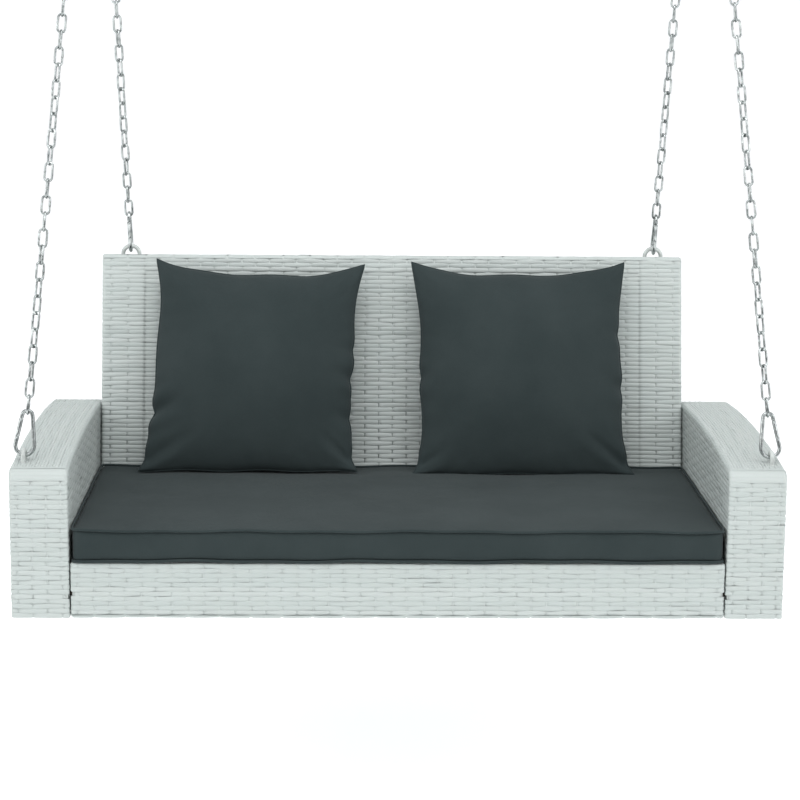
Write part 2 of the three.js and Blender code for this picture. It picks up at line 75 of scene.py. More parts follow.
def new_mesh(name, verts, quads, attributes=None, polygons=(), smooth=True):
    """A mesh object from points in the bench's frame, in millimetres."""
    verts = np.asarray(verts, float).reshape(-1, 3) * MM + ORIGIN
    quads = np.asarray(quads, int).reshape(-1, 4)
    extra = [list(p) for p in polygons]
    mesh = bpy.data.meshes.new(name)
    mesh.vertices.add(len(verts))
    mesh.vertices.foreach_set("co", verts.astype(np.float32).ravel())
    loops = np.concatenate([quads.ravel()] + [np.array(p, int) for p in extra])
    starts = list(range(0, len(quads) * 4, 4))
    at = len(quads) * 4
    for p in extra:
        starts.append(at)
        at += len(p)
    mesh.loops.add(len(loops))
    mesh.loops.foreach_set("vertex_index", loops.astype(np.int32))
    mesh.polygons.add(len(starts))
    mesh.polygons.foreach_set("loop_start", np.array(starts, np.int32))
    mesh.update(calc_edges=True)
    mesh.validate()
    mesh.polygons.foreach_set("use_smooth", [smooth] * len(mesh.polygons))
    for key, values in (attributes or {}).items():
        layer = mesh.attributes.new(key, "FLOAT", "POINT")
        layer.data.foreach_set("value", np.asarray(values, np.float32).ravel())
    obj = bpy.data.objects.new(name, mesh)
    bpy.context.scene.collection.objects.link(obj)
    return obj


class Track:
    """An open path in a plane with rounded corners, read by the distance along it."""

    def __init__(self, corners, radius):
        corners = [np.array(c, float) for c in corners]
        points, angles = [], []
        for i, corner in enumerate(corners):
            if i in (0, len(corners) - 1):
                way = corners[1] - corner if i == 0 else corner - corners[-2]
                points.append(corner)
                angles.append(math.atan2(way[1], way[0]))
                continue
            before = corner - corners[i - 1]
            after = corners[i + 1] - corner
            a0 = math.atan2(before[1], before[0])
            turn = (math.atan2(after[1], after[0]) - a0 + math.pi) % (2 * math.pi) - math.pi
            side = math.copysign(radius, turn)
            start = corner - before / np.linalg.norm(before) * radius * math.tan(abs(turn) / 2)
            centre = start + side * np.array([-math.sin(a0), math.cos(a0)])
            steps = int(abs(turn) / 0.3) + 2
            for a in a0 + turn * np.linspace(0, 1, steps):
                points.append(centre + side * np.array([math.sin(a), -math.cos(a)]))
                angles.append(a)
        self.points = np.array(points)
        self.angles = np.unwrap(np.array(angles))
        gaps = np.linalg.norm(np.diff(self.points, axis=0), axis=1)
        self.marks = np.concatenate([[0], np.cumsum(gaps)])
        self.length = self.marks[-1]

    def at(self, s):
        """Positions and outward normals; outwards is to the right of the way along."""
        x = np.interp(s, self.marks, self.points[:, 0])
        y = np.interp(s, self.marks, self.points[:, 1])
        a = np.interp(s, self.marks, self.angles)
        return np.stack([x, y], 1), np.stack([np.sin(a), -np.cos(a)], 1)

    def near(self, points):
        """The marks nearest to some points of the plane."""
        table = np.linspace(0, self.length, int(self.length / 0.5))
        flat, _ = self.at(table)
        gaps = np.linalg.norm(flat[None, :, :] - np.array(points, float)[:, None, :], axis=2)
        return table[gaps.argmin(1)]

    def bends(self):
        """Marks on the rounded corners."""
        turned = np.abs(np.diff(self.angles)) > 1e-4
        return np.concatenate([self.marks[:-1][turned], self.marks[1:][turned]])


# ---- woven strands ----

STRAND = 1.15
WARP_THICK = 0.8
DIVE = 1.0
ARCH = 0.42
WARP_GAP = 26.0
ROW_GAP = 7.9
STRAND_HALF = 3.93
BACKING = 3.2
# Rows at this height stop short of the seam, so that the bolt's head shows.
NOTCH_Z = 38.0
NOTCH_X = 5.0
SECTION = np.array([(-1.0, 0.3), (-0.8, 0.8), (0.0, 1.0), (0.8, 0.8), (1.0, 0.3)])
FLAT_SECTION = np.array([(-1.0, 0.0), (-0.8, 1.0), (0.8, 1.0), (1.0, 0.0)])
DIVE_MARKS = np.array([-7.0, -3.4, -1.6, 0.0, 1.6, 3.4, 7.0])


class Sheet:
    """Strands gathered into one mesh."""

    def __init__(self, name):
        self.name = name
        self.verts, self.quads, self.caps = [], [], []
        self.across, self.depth = [], []
        self.count = 0

    def add(self, points, normals, across, half, thick, depth, section=SECTION):
        """One strand: its base line, outward normals, crosswise directions and half widths."""
        ring, rows = len(section), len(points)
        c = section[:, 0][None, :, None]
        h = section[:, 1][None, :, None]
        spine = points[:, None, :] + across[:, None, :] * c * half[:, None, None]
        self.verts.append((spine + normals[:, None, :] * h * thick).reshape(-1, 3))
        a = self.count + np.arange(rows - 1)[:, None] * ring + np.arange(ring - 1)[None, :]
        self.quads.append(np.stack([a, a + ring, a + ring + 1, a + 1], -1).reshape(-1, 4))
        first = self.count + np.arange(ring)
        self.caps.append(first.tolist())
        self.caps.append((first + (rows - 1) * ring)[::-1].tolist())
        self.across.append(np.broadcast_to(section[:, 0], (rows, ring)).ravel())
        self.depth.append(np.repeat(depth, ring))
        self.count += rows * ring

    def finish(self):
        attributes = {
            "across": np.concatenate(self.across),
            "depth": np.concatenate(self.depth),
        }
        verts = np.concatenate(self.verts)
        return new_mesh(self.name, verts, np.concatenate(self.quads), attributes, self.caps)


def nearest(s, marks):
    """Distance from each s to the nearest mark."""
    return np.abs(s[:, None] - np.asarray(marks)[None, :]).min(1)


def sample_marks(track, over, under, span, fine):
    marks = [over, track.bends(), np.array(span)]
    marks += [over + d * fine * WARP_GAP for d in (-0.5, 0.5)]
    marks += [under + d * fine for d in (DIVE_MARKS if fine == 1 else DIVE_MARKS[1::2])]
    s = np.sort(np.concatenate(marks))
    s = s[(s >= span[0]) & (s <= span[1])]
    return s[np.concatenate([[True], np.diff(s) > 0.9])]


def add_row(sheet, track, axes, crossings, parity, span=None, posts=(), sink=None,
            half=STRAND_HALF, lean=(0.0, 0.0), side_gain=0.0, fine=1.0):
    """A strand woven over and under the warps; lean is (depth, angle), fine narrows its dives."""
    origin, e1, e2, e3 = axes
    crossings = np.asarray(crossings, float) + rng.normal(0, 0.9 * fine, len(crossings))
    odd = (np.arange(len(crossings)) + parity) % 2 == 1
    under = np.concatenate([crossings[odd], np.asarray(posts, float)])
    over = crossings[~odd]
    span = span or (0.0, track.length)
    s = sample_marks(track, over, under, span, fine)
    flat, out = track.at(s)
    off = nearest(s, under) / fine
    ends = np.minimum(s - span[0], span[1] - s)
    drop = DIVE * np.exp(-((off / 2.1) ** 2)) + ARCH * np.clip(1 - off / WARP_GAP, 0, 1) ** 2
    drop = np.maximum(drop, 1.6 * np.exp(-((ends / 2.5) ** 2)))
    knots = np.linspace(0, track.length, max(4, int(track.length / WARP_GAP)))
    tilt = np.interp(s, knots, rng.normal(0, 0.095, len(knots))) - lean[1]
    lift = np.interp(s, knots, np.abs(rng.normal(0, 0.2, len(knots)))) + lean[0]
    shift = np.interp(s, knots, rng.normal(0, 0.24, len(knots)))
    width = half + 0.3 * np.clip(off / WARP_GAP, 0, 1) - 0.35 * np.exp(-((off / 2.0) ** 2))
    normals = out[:, :1] * e1 + out[:, 1:] * e2
    points = origin + flat[:, :1] * e1 + flat[:, 1:] * e2
    drop = drop * (1 + side_gain * np.abs(normals @ X_AXIS))
    depth = drop + lift + STRAND + (sink(points) if sink else 0.0)
    leant = normals * math.cos(lean[1]) + e3 * math.sin(lean[1])
    points = points - normals * lean[0] - leant * (depth - lean[0])[:, None]
    points = points + shift[:, None] * e3
    across = e3 * np.cos(tilt)[:, None] + normals * np.sin(tilt)[:, None]
    normals = leant
    # The depth attribute is the strand's dive, which the material turns into painted shade.
    sheet.add(points, normals, across, width, STRAND, drop / (DIVE + ARCH))


def add_warp(sheet, points, normals, across, half=1.5, sink=None):
    """A straight strand that the rows pass over and under."""
    points = np.asarray(points, float)
    normals = np.broadcast_to(normals, points.shape)
    wide = np.broadcast_to(across, points.shape)
    extra = sink(points) if sink else np.zeros(len(points))
    base = points - normals * (STRAND + WARP_THICK + 0.1 + extra)[:, None]
    count = len(points)
    # Warps get a depth of 0.9, so the material paints them darker: painted shade for the narrow slots
    # they lie in.
    sheet.add(base, normals, wide, np.full(count, half), WARP_THICK, np.full(count, 0.9),
              FLAT_SECTION)


def spread(low, high, gap=WARP_GAP):
    """Warp positions between two edges, half a gap in from each."""
    count = max(1, round((high - low) / gap))
    return low + (np.arange(count) + 0.5) * (high - low) / count


def backing(name, outline, axes, low, high):
    """The dark inside wall behind the strands: an outline pushed along the third axis."""
    origin, e1, e2, e3 = axes
    ring = [origin + p[0] * e1 + p[1] * e2 for p in outline]
    count = len(ring)
    verts = [p + low * e3 for p in ring] + [p + high * e3 for p in ring]
    quads = [(i, (i + 1) % count, count + (i + 1) % count, count + i) for i in range(count)]
    ends = [list(range(count))[::-1], list(range(count, 2 * count))]
    return new_mesh(name, verts, quads, None, ends, smooth=False)


def smooth_step(value):
    t = np.clip(value, 0, 1)
    return t * t * (3 - 2 * t)


# ---- backrest ----

BACK_EDGE = 7.0
POST_X = 462.0
BORDER_TOP = 27.0
RECESS = 1.8
EDGE_WRAP = 8.0


def back_point(x, y, z):
    return BACK_ORIGIN + x * X_AXIS + y * BACK_Y + z * BACK_Z


def back_sink(points):
    """How far the panel between the posts and under the top tube lies back."""
    local = points - BACK_ORIGIN
    inside = smooth_step((POST_X - np.abs(points[:, 0])) / 5 + 0.3)
    below = smooth_step((BACK_LENGTH - BORDER_TOP - local @ BACK_Z) / 6)
    return RECESS * inside * below


def back_crossings():
    panel = np.linspace(-POST_X, POST_X, 37)[1:-1]
    return np.concatenate([[-525.0, -493.5], panel, [493.5, 525.0]])


def back_panel(sheet, face):
    """The rows of the front (face 0) or the rear (face 1), wrapped round half of each side."""
    x1, middle, y = SEAT_HALF, BACK_THICK / 2, face * BACK_THICK
    way = 1 if face == 0 else -1
    track = Track([(-way * x1, middle), (-way * x1, y), (way * x1, y), (way * x1, middle)],
                  BACK_EDGE)
    xs = np.sort(way * back_crossings())
    warps = track.near([(way * x, y) for x in xs])
    posts = track.near([(-way * POST_X, y), (way * POST_X, y)])
    rows = round((BACK_LENGTH - BACK_EDGE) / ROW_GAP)
    for j in range(rows):
        z = (j + 0.5) * (BACK_LENGTH - BACK_EDGE) / rows
        axes = (back_point(0, 0, z), X_AXIS, BACK_Y, BACK_Z)
        add_row(sheet, track, axes, warps, j % 2, None, posts, back_sink)
    out = -BACK_Y if face == 0 else BACK_Y
    heights = np.array([2.0, BACK_LENGTH - BORDER_TOP - 6, BACK_LENGTH - BORDER_TOP,
                        BACK_LENGTH - BACK_EDGE])
    for x in back_crossings():
        points = [back_point(x, y, z) for z in heights]
        add_warp(sheet, points, out, X_AXIS * -way, sink=back_sink)


# Crossings past the end of any row, for rows that go over every warp.
PASSED = np.array([-500.0, -600.0])


def band(sheet, profile, axes, half_span, crossings, spans, wrap=EDGE_WRAP, edge=5.0, middle=0.0,
         half=STRAND_HALF, notch=None, plain=False):
    """Rows across a surface that follows a profile, their ends turned down over its edges."""
    origin, e1, e2 = axes
    for low, high in spans:
        rows = max(1, round((high - low) / ROW_GAP))
        marks = low + (np.arange(rows) + 0.5) * (high - low) / rows
        flat, out = profile.at(marks)
        for j in range(rows):
            outwards = out[j, 0] * e1 + out[j, 1] * e2
            onwards = np.cross(outwards, X_AXIS)
            place = origin + flat[j, 0] * e1 + flat[j, 1] * e2 + middle * X_AXIS
            cut = notch is not None and abs(flat[j, 1] - notch) < ROW_GAP / 2 and flat[j, 0] < 1
            x1 = half_span - (NOTCH_X if cut else 0)
            track = Track([(-x1, wrap), (-x1, 0), (x1, 0), (x1, wrap)], edge)
            marks_x = PASSED if plain else track.near([(x, 0) for x in crossings])
            add_row(sheet, track, (place, X_AXIS, -outwards, onwards), marks_x, j % 2, half=half)


def build_back():
    front, rear = Sheet("back_weave_front"), Sheet("back_weave_rear")
    back_panel(front, 0)
    back_panel(rear, 1)
    low = BACK_LENGTH - BACK_EDGE
    profile = Track([(BACK_THICK, low), (BACK_THICK, BACK_LENGTH), (0, BACK_LENGTH), (0, low)],
                    BACK_EDGE)
    axes = (BACK_ORIGIN, BACK_Y, BACK_Z)
    band(rear, profile, axes, SEAT_HALF, np.concatenate([back_crossings(), [-POST_X, POST_X]]),
         [(0, profile.length)], wrap=BACK_EDGE + 1, edge=BACK_EDGE - 1)
    d = BACKING
    deep = d + RECESS
    outline = [(deep, d), (BACK_THICK - deep, d), (BACK_THICK - deep, BACK_LENGTH - deep),
               (deep, BACK_LENGTH - deep)]
    wall = backing("back_lining", outline, (BACK_ORIGIN, BACK_Y, BACK_Z, X_AXIS),
                   d - SEAT_HALF, SEAT_HALF - d)
    return [front.finish(), rear.finish()], wall


# ---- seat ----

APRON = 94.0
SEAT_FOOT = 480.5
SEAT_TOP = SEAT_FOOT + APRON * math.tan(RECLINE)
SEAT_LIP = 31.0
SEAT_EDGE = 5.0


def build_seat():
    front, deck = Sheet("seat_weave_apron"), Sheet("seat_weave_deck")
    profile = Track([(SEAT_FOOT - SEAT_LIP, 0), (SEAT_FOOT, 0), (SEAT_TOP, APRON), (0, APRON),
                     (0, 0), (SEAT_LIP, 0)], SEAT_EDGE)
    axes = (np.zeros(3), Y_AXIS, Z_AXIS)
    crossings = spread(-SEAT_HALF, SEAT_HALF)
    lip = profile.near([(40, APRON)])[0]
    foot = profile.near([(0, SEAT_EDGE)])[0]
    band(deck, profile, axes, SEAT_HALF, crossings, [(0, lip)])
    band(front, profile, axes, SEAT_HALF, crossings, [(lip, foot)], notch=NOTCH_Z)
    band(front, profile, axes, SEAT_HALF, crossings, [(foot, profile.length)])
    for x in crossings:
        marks = np.linspace(0, profile.length, 60)
        flat, out = profile.at(marks)
        points = flat[:, :1] * Y_AXIS + flat[:, 1:] * Z_AXIS + x * X_AXIS
        normals = out[:, :1] * Y_AXIS + out[:, 1:] * Z_AXIS
        add_warp(deck, points, normals, X_AXIS)
    flat, out = profile.at(np.linspace(0, profile.length, 60))
    outline = np.concatenate([flat - out * BACKING, (flat - out * (BACKING + 0.3))[::-1]])
    reach = SEAT_HALF - BACKING
    wall = backing("seat_lining", outline, (np.zeros(3), Y_AXIS, Z_AXIS, X_AXIS), -reach, reach)
    return [front.finish(), deck.finish()], wall


# ---- arms ----

FACE_TOP = 232.0
NOSE = 20.0
CREST_Y, CREST_Z, CREST_DROP, CREST_RUN = 330.0, 267.0, 14.0, 300.0
REAR_FOOT, REAR_TOP = 560.0, 615.0
ARM_EDGE = 4.5
ARM_WARP_GAP = 24.3
SIDE_GAIN = 0.75
INNER_LINING = 6.5


def arm_top(y):
    return CREST_Z - CREST_DROP * ((y - CREST_Y) / CREST_RUN) ** 2


def arm_profile():
    """The arm's outline from its rear foot over the top to its front foot."""
    ys = np.linspace(REAR_TOP, NOSE, 40)
    crown = [(y, arm_top(y)) for y in ys]
    rise = arm_top(NOSE) - FACE_TOP
    turns = np.linspace(0, math.pi / 2, 9)[1:]
    nose = [(NOSE * (1 - math.sin(t)), FACE_TOP + rise * math.cos(t)) for t in turns]
    return crown, nose


def rear_y(z):
    return REAR_FOOT + (REAR_TOP - REAR_FOOT) * z / arm_top(REAR_TOP)


def arm_rows(sheet, x0, x1, side):
    """Rows wound round the arm: rear, inner or outer side, front, other side."""
    ys = spread(0, REAR_FOOT + 10)
    xs = spread(x0, x1, ARM_WARP_GAP)
    rows = round(FACE_TOP / ROW_GAP)
    pitch = FACE_TOP / rows
    middle = (x0 + x1) / 2
    inner = x0 if side > 0 else x1
    for j in range(rows + 4):
        z = (j + 0.5) * pitch
        axes = (z * Z_AXIS, X_AXIS, Y_AXIS, Z_AXIS)
        back = min(rear_y(z), REAR_TOP - 2)
        if z < FACE_TOP:
            corners = [(middle, back), (x0, back), (x0, 0), (x1, 0), (x1, back), (middle, back)]
            if abs(z - NOTCH_Z) < pitch / 2:
                step = side * NOTCH_X
                cut = [(inner, 11), (inner + step, 9), (inner + step, 0)]
                corners = ([(middle, back), (x0, back)] + (cut if side > 0 else [(x0, 0)])
                           + ([(x1, 0)] if side > 0 else cut[::-1]) + [(x1, back), (middle, back)])
            track = Track(corners, ARM_EDGE if abs(z - NOTCH_Z) > pitch / 2 else 1.0)
            points = [(x0, y) for y in ys[::-1]] + [(x, 0) for x in xs] + [(x1, y) for y in ys]
            add_row(sheet, track, axes, track.near(points), j % 2, side_gain=SIDE_GAIN)
            continue
        reach = z + 8.0
        if reach > CREST_Z:
            continue
        half_run = CREST_RUN * math.sqrt((CREST_Z - reach) / CREST_DROP)
        y0, y1 = max(NOSE, CREST_Y - half_run), min(back, CREST_Y + half_run)
        for x, a, b in ((x0, y1, y0), (x1, y0, y1)):
            track = Track([(x, a), (x, b)], 1.0)
            inside = [y for y in ys if y0 + 4 < y < y1 - 4]
            if len(inside) > 1:
                skipped = int(np.sum(ys <= y0 + 4)) if x == x1 else int(np.sum(ys >= y1 - 4))
                parity = (j + skipped + (0 if x == x0 else len(ys) + len(xs))) % 2
                order = inside if x == x1 else inside[::-1]
                add_row(sheet, track, axes, track.near([(x, y) for y in order]), parity,
                        side_gain=SIDE_GAIN)


def arm_warps(sheet, x0, x1):
    ys = spread(0, REAR_FOOT + 10)
    for y in ys:
        for x, out in ((x0, -X_AXIS), (x1, X_AXIS)):
            low = 2.0 if y < REAR_FOOT else (y - REAR_FOOT) * 4.6
            points = [(x, y, low), (x, y, arm_top(y) - 6)]
            add_warp(sheet, points, out, np.cross(Z_AXIS, out) * -1)


# Strands along the arms' tops: their pitch, how far they turn down each side, the edge's radius.
CAP_GAP, CAP_WRAP, CAP_EDGE = 4.8, 11.0, 8.0


def lengthwise(sheet, loop, middle, half, begin, end):
    """Strands that run from the rear along the top to the nose, round both top edges."""
    over = Track([(-half, CAP_WRAP), (-half, 0), (half, 0), (half, CAP_WRAP)], CAP_EDGE)
    count = round(over.length / CAP_GAP)
    marks = (np.arange(count) + 0.5) * over.length / count
    flat, out = over.at(marks)
    crossings = spread(begin, end, CAP_GAP * 2)
    for j in range(count):
        angle = math.atan2(out[j, 0], -out[j, 1])
        axes = ((middle + flat[j, 0]) * X_AXIS, Y_AXIS, Z_AXIS, X_AXIS)
        add_row(sheet, loop, axes, crossings, j % 2, (begin, end), half=CAP_GAP * 0.48,
                lean=(flat[j, 1], angle), fine=CAP_GAP / WARP_GAP * 2.4)
    for mark in crossings:
        place_at, way = loop.at(np.array([mark]))
        base = place_at[0, 0] * Y_AXIS + place_at[0, 1] * Z_AXIS + middle * X_AXIS
        out_way = way[0, 0] * Y_AXIS + way[0, 1] * Z_AXIS
        ends = [base - (half - 5) * X_AXIS, base + (half - 5) * X_AXIS]
        add_warp(sheet, ends, out_way, np.cross(out_way, X_AXIS))


def build_arm(label, side):
    x0, x1 = (INNER, OUTER) if side > 0 else (-OUTER, -INNER)
    rows, cap = Sheet(f"arm_weave_{label}"), Sheet(f"arm_weave_cap_{label}")
    arm_rows(rows, x0, x1, side)
    arm_warps(rows, x0, x1)
    crown, nose = arm_profile()
    outline = [(0, 2), (REAR_FOOT, 0)] + crown + nose
    axes = (np.zeros(3), Y_AXIS, Z_AXIS)
    middle, half = (x0 + x1) / 2, (x1 - x0) / 2
    xs = spread(x0, x1, ARM_WARP_GAP) - middle
    loop = Track([(REAR_FOOT - 1, 0.0), *[(REAR_TOP, arm_top(REAR_TOP) - 1)], *crown[1:], *nose,
                  (0, FACE_TOP - 2)], 2.0)
    begin = loop.near([(REAR_TOP - 1, arm_top(REAR_TOP - 1))])[0]
    end = loop.near([(0, FACE_TOP)])[0]
    brow = loop.near([(NOSE, arm_top(NOSE))])[0]
    lengthwise(cap, loop, middle, half, begin, brow + 5)
    band(cap, loop, axes, half, xs, [(brow, end)], middle=middle, wrap=CAP_WRAP,
         edge=CAP_EDGE - 1, plain=True)
    floor = Track([(0, 0), (REAR_FOOT, 0)], 1.0)
    band(cap, floor, axes, half - 3, xs, [(3, floor.length - 3)], middle=middle, wrap=1.2, edge=1.0)
    for x in xs + middle:
        add_warp(rows, [(x, 0, 2), (x, 0, FACE_TOP)], -Y_AXIS, X_AXIS)
        foot = np.array([x, REAR_FOOT, 2.0])
        head = np.array([x, REAR_TOP, arm_top(REAR_TOP) - 4])
        out = np.cross(head - foot, X_AXIS)
        add_warp(rows, [foot, head], out / np.linalg.norm(out), X_AXIS)
    shrunk = inset(outline, BACKING)
    near, far = (INNER_LINING, BACKING + 1) if side > 0 else (BACKING + 1, INNER_LINING)
    wall = backing(f"arm_lining_{label}", shrunk, (np.zeros(3), Y_AXIS, Z_AXIS, X_AXIS),
                   x0 + near, x1 - far)
    return [rows.finish(), cap.finish()], wall


def inset(outline, distance):
    """A convex outline, anticlockwise, moved inwards."""
    points = np.array(outline, float)
    before = points - np.roll(points, 1, 0)
    after = np.roll(points, -1, 0) - points
    before /= np.linalg.norm(before, axis=1)[:, None]
    after /= np.linalg.norm(after, axis=1)[:, None]
    way = np.stack([-(before + after)[:, 1], (before + after)[:, 0]], 1)
    way /= np.linalg.norm(way, axis=1)[:, None]
    side = np.stack([-before[:, 1], before[:, 0]], 1)
    reach = distance / np.clip((way * side).sum(1), 0.3, 1)
    return points + way * reach[:, None]


# ---- materials ----


def node_material(name):
    material = bpy.data.materials.new(name)
    material.use_nodes = True
    return material, material.node_tree


def paint(obj, material):
    obj.data.materials.clear()
    obj.data.materials.append(material)
    return obj


def attribute(tree, name):
    node = tree.nodes.new("ShaderNodeAttribute")
    node.attribute_name = name
    return node.outputs["Fac"]


def scaled(tree, value, low, high, to_low, to_high):
    node = tree.nodes.new("ShaderNodeMapRange")
    ends = {"From Min": low, "From Max": high, "To Min": to_low, "To Max": to_high}
    for key, end in ends.items():
        node.inputs[key].default_value = end
    tree.links.new(value, node.inputs["Value"])
    return node.outputs["Result"]


def math_node(tree, kind, a, b):
    node = tree.nodes.new("ShaderNodeMath")
    node.operation = kind
    for i, value in enumerate((a, b)):
        if isinstance(value, (int, float)):
            node.inputs[i].default_value = value
        else:
            tree.links.new(value, node.inputs[i])
    return node.outputs[0]


def noise(tree, scale, detail=2.0):
    node = tree.nodes.new("ShaderNodeTexNoise")
    node.inputs["Scale"].default_value = scale
    node.inputs["Detail"].default_value = detail
    coords = tree.nodes.new("ShaderNodeTexCoord")
    tree.links.new(coords.outputs["Object"], node.inputs["Vector"])
    return node.outputs["Fac"]


def mix_colour(tree, factor, a, b):
    node = tree.nodes.new("ShaderNodeMix")
    node.data_type = "RGBA"
    tree.links.new(factor, node.inputs[0])
    for socket, value in ((node.inputs[6], a), (node.inputs[7], b)):
        if isinstance(value, tuple):
            socket.default_value = (*value, 1)
        else:
            tree.links.new(value, socket)
    return node.outputs[2]


def bump(tree, height, strength, distance, normal=None):
    node = tree.nodes.new("ShaderNodeBump")
    node.inputs["Strength"].default_value = strength
    node.inputs["Distance"].default_value = distance
    tree.links.new(height, node.inputs["Height"])
    if normal is not None:
        tree.links.new(normal, node.inputs["Normal"])
    return node.outputs["Normal"]


def wicker_material():
    """Extruded plastic strand: fine grooves along it, a little colour from strand to strand, and
    painted shade in its dives and along its edges.
    """
    material, tree = node_material("woven_strand")
    shader = tree.nodes["Principled BSDF"]
    geometry = tree.nodes.new("ShaderNodeNewGeometry")
    across, depth = attribute(tree, "across"), attribute(tree, "depth")
    island = scaled(tree, geometry.outputs["Random Per Island"], 0, 1, 0, 1)
    base = mix_colour(tree, island, (0.43, 0.475, 0.462), (0.465, 0.505, 0.492))
    mottle = scaled(tree, noise(tree, 14.0), 0.35, 0.65, 0, 0.25)
    base = mix_colour(tree, mottle, base, (0.45, 0.486, 0.464))
    # Painted shade: the deeper a strand dives under a warp, the darker its colour, standing in for the
    # shadow there.
    shade = scaled(tree, depth, 0.2, 1.0, 0.0, 0.15)
    base = mix_colour(tree, shade, base, (0.42, 0.46, 0.445))
    # Painted shade along each strand's edges, standing in for the shadow in the grooves between rows.
    edge = math_node(tree, "ABSOLUTE", across, 0)
    edge = scaled(tree, edge, 0.72, 1.0, 0.0, 0.06)
    base = mix_colour(tree, edge, base, (0.44, 0.48, 0.465))
    tree.links.new(base, shader.inputs["Base Color"])
    grooves = math_node(tree, "SINE", math_node(tree, "MULTIPLY", across, 22.0), 0)
    fine = noise(tree, 260.0, 3.0)
    normal = bump(tree, grooves, 0.25, 0.0002)
    tree.links.new(bump(tree, fine, 0.2, 0.0003, normal), shader.inputs["Normal"])
    rough = scaled(tree, fine, 0.3, 0.7, 0.42, 0.58)
    tree.links.new(rough, shader.inputs["Roughness"])
    return material


def lining_material():
    material, tree = node_material("inner_lining")
    shader = tree.nodes["Principled BSDF"]
    patch = scaled(tree, noise(tree, 30.0), 0.3, 0.7, 0, 1)
    tree.links.new(mix_colour(tree, patch, (0.42, 0.45, 0.44), (0.48, 0.51, 0.50)),
              shader.inputs["Base Color"])
    shader.inputs["Roughness"].default_value = 0.8
    return material


def coat_material(name, colour, other, roughness, metallic=0.0, scale=60.0, dent=0.0002):
    """Paint or plating with a fine texture and slight changes of tone."""
    material, tree = node_material(name)
    shader = tree.nodes["Principled BSDF"]
    tone = scaled(tree, noise(tree, scale, 4.0), 0.3, 0.7, 0, 1)
    tree.links.new(mix_colour(tree, tone, colour, other), shader.inputs["Base Color"])
    fine = noise(tree, scale * 14, 3.0)
    tree.links.new(scaled(tree, fine, 0.3, 0.7, roughness - 0.06, roughness + 0.08),
              shader.inputs["Roughness"])
    tree.links.new(bump(tree, fine, 0.25, dent), shader.inputs["Normal"])
    shader.inputs["Metallic"].default_value = metallic
    return material


WICKER = wicker_material()
LINING = lining_material()
FRAME_COAT = coat_material("powder_coat", (0.62, 0.66, 0.64), (0.56, 0.60, 0.58), 0.42)
ZINC = coat_material("zinc_plate", (0.58, 0.61, 0.605), (0.20, 0.22, 0.22), 0.16, 1.0, 90.0,
                    0.0006)
BOLT = coat_material("black_bolt", (0.035, 0.033, 0.03), (0.09, 0.075, 0.06), 0.5, 0.7, 120.0)


def place(obj, body, material, slot, *nodes):
    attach(obj, body)
    if nodes:
        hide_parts(*nodes)
    return paint(obj, material)


def weave_bench():
    sheets, wall = build_back()
    for piece in sheets:
        place(piece, "swing", WICKER, "wicker", "back_wicker")
    place(wall, "swing", LINING, "wicker")
    sheets, wall = build_seat()
    for piece in sheets:
        place(piece, "swing", WICKER, "wicker", "seat_wicker")
    place(wall, "swing", LINING, "wicker")
    for label, side in (("left", -1), ("right", 1)):
        sheets, wall = build_arm(label, side)
        for piece in sheets:
            place(piece, "swing", WICKER, "wicker", f"arm_wicker_{label}")
        place(wall, "swing", LINING, "wicker")


weave_bench()


# ---- round wire ----


def round_wire(path, radius, sides=12, closed=False, cap=0.0):
    """Points and quads of a round wire along a path; cap rounds its ends by that many radii."""
    path = np.asarray(path, float)
    if cap:
        path, radius = rounded_ends(path, radius, cap)
    count = len(path)
    radius = np.broadcast_to(radius, (count,))
    if closed:
        way = np.roll(path, -1, 0) - np.roll(path, 1, 0)
    else:
        way = np.gradient(path, axis=0)
    way /= np.linalg.norm(way, axis=1)[:, None]
    spread_of = path - path.mean(0)
    flat = np.linalg.svd(spread_of)[2][2]
    if abs(flat @ way[0]) > 0.5:
        flat = np.linalg.svd(spread_of)[2][1]
    one = np.cross(way, flat)
    one /= np.linalg.norm(one, axis=1)[:, None]
    two = np.cross(way, one)
    turn = 2 * math.pi * np.arange(sides) / sides
    ring = (one[:, None, :] * np.cos(turn)[None, :, None]
            + two[:, None, :] * np.sin(turn)[None, :, None])
    verts = path[:, None, :] + ring * radius[:, None, None]
    rows = count if closed else count - 1
    i, k = np.arange(rows)[:, None], np.arange(sides)[None, :]
    j, m = (i + 1) % count, (k + 1) % sides
    quads = np.stack([i * sides + k, j * sides + k, j * sides + m, i * sides + m], -1)
    quads = quads.reshape(-1, 4)[:, ::-1]
    ends = [] if closed else [list(range(sides)), [(count - 1) * sides + n for n in
                                                  range(sides)][::-1]]
    return verts.reshape(-1, 3), quads, ends


def rounded_ends(path, radius, cap):
    """The path with a few rings added at each end, closing like a dome."""
    turns = np.radians([84, 62, 36, 14])
    first = path[0] - path[1]
    last = path[-1] - path[-2]
    first /= np.linalg.norm(first)
    last /= np.linalg.norm(last)
    reach = cap * radius * np.sin(turns)
    near = radius * np.cos(turns)
    head = path[0] + first * reach[:, None]
    tail = path[-1] + last * reach[::-1][:, None]
    full = np.full(len(path), radius)
    return np.concatenate([head, path, tail]), np.concatenate([near, full, near[::-1]])


class Solids:
    """Closed shapes gathered into one mesh."""

    def __init__(self, name):
        self.name, self.verts, self.quads, self.ends, self.count = name, [], [], [], 0

    def add(self, shape, turn=None, origin=(0, 0, 0)):
        verts, quads, ends = shape
        if turn is not None:
            verts = verts @ np.asarray(turn, float).T
        self.verts.append(verts + np.asarray(origin, float))
        self.quads.append(np.asarray(quads, int).reshape(-1, 4) + self.count)
        self.ends += [[n + self.count for n in e] for e in ends]
        self.count += len(verts)

    def finish(self):
        return new_mesh(self.name, np.concatenate(self.verts), np.concatenate(self.quads),
                        None, self.ends)


def about(axis, angle):
    """A turn about a unit axis, as a 3 by 3 array."""
    return np.array(Matrix.Rotation(angle, 3, Vector(axis)))


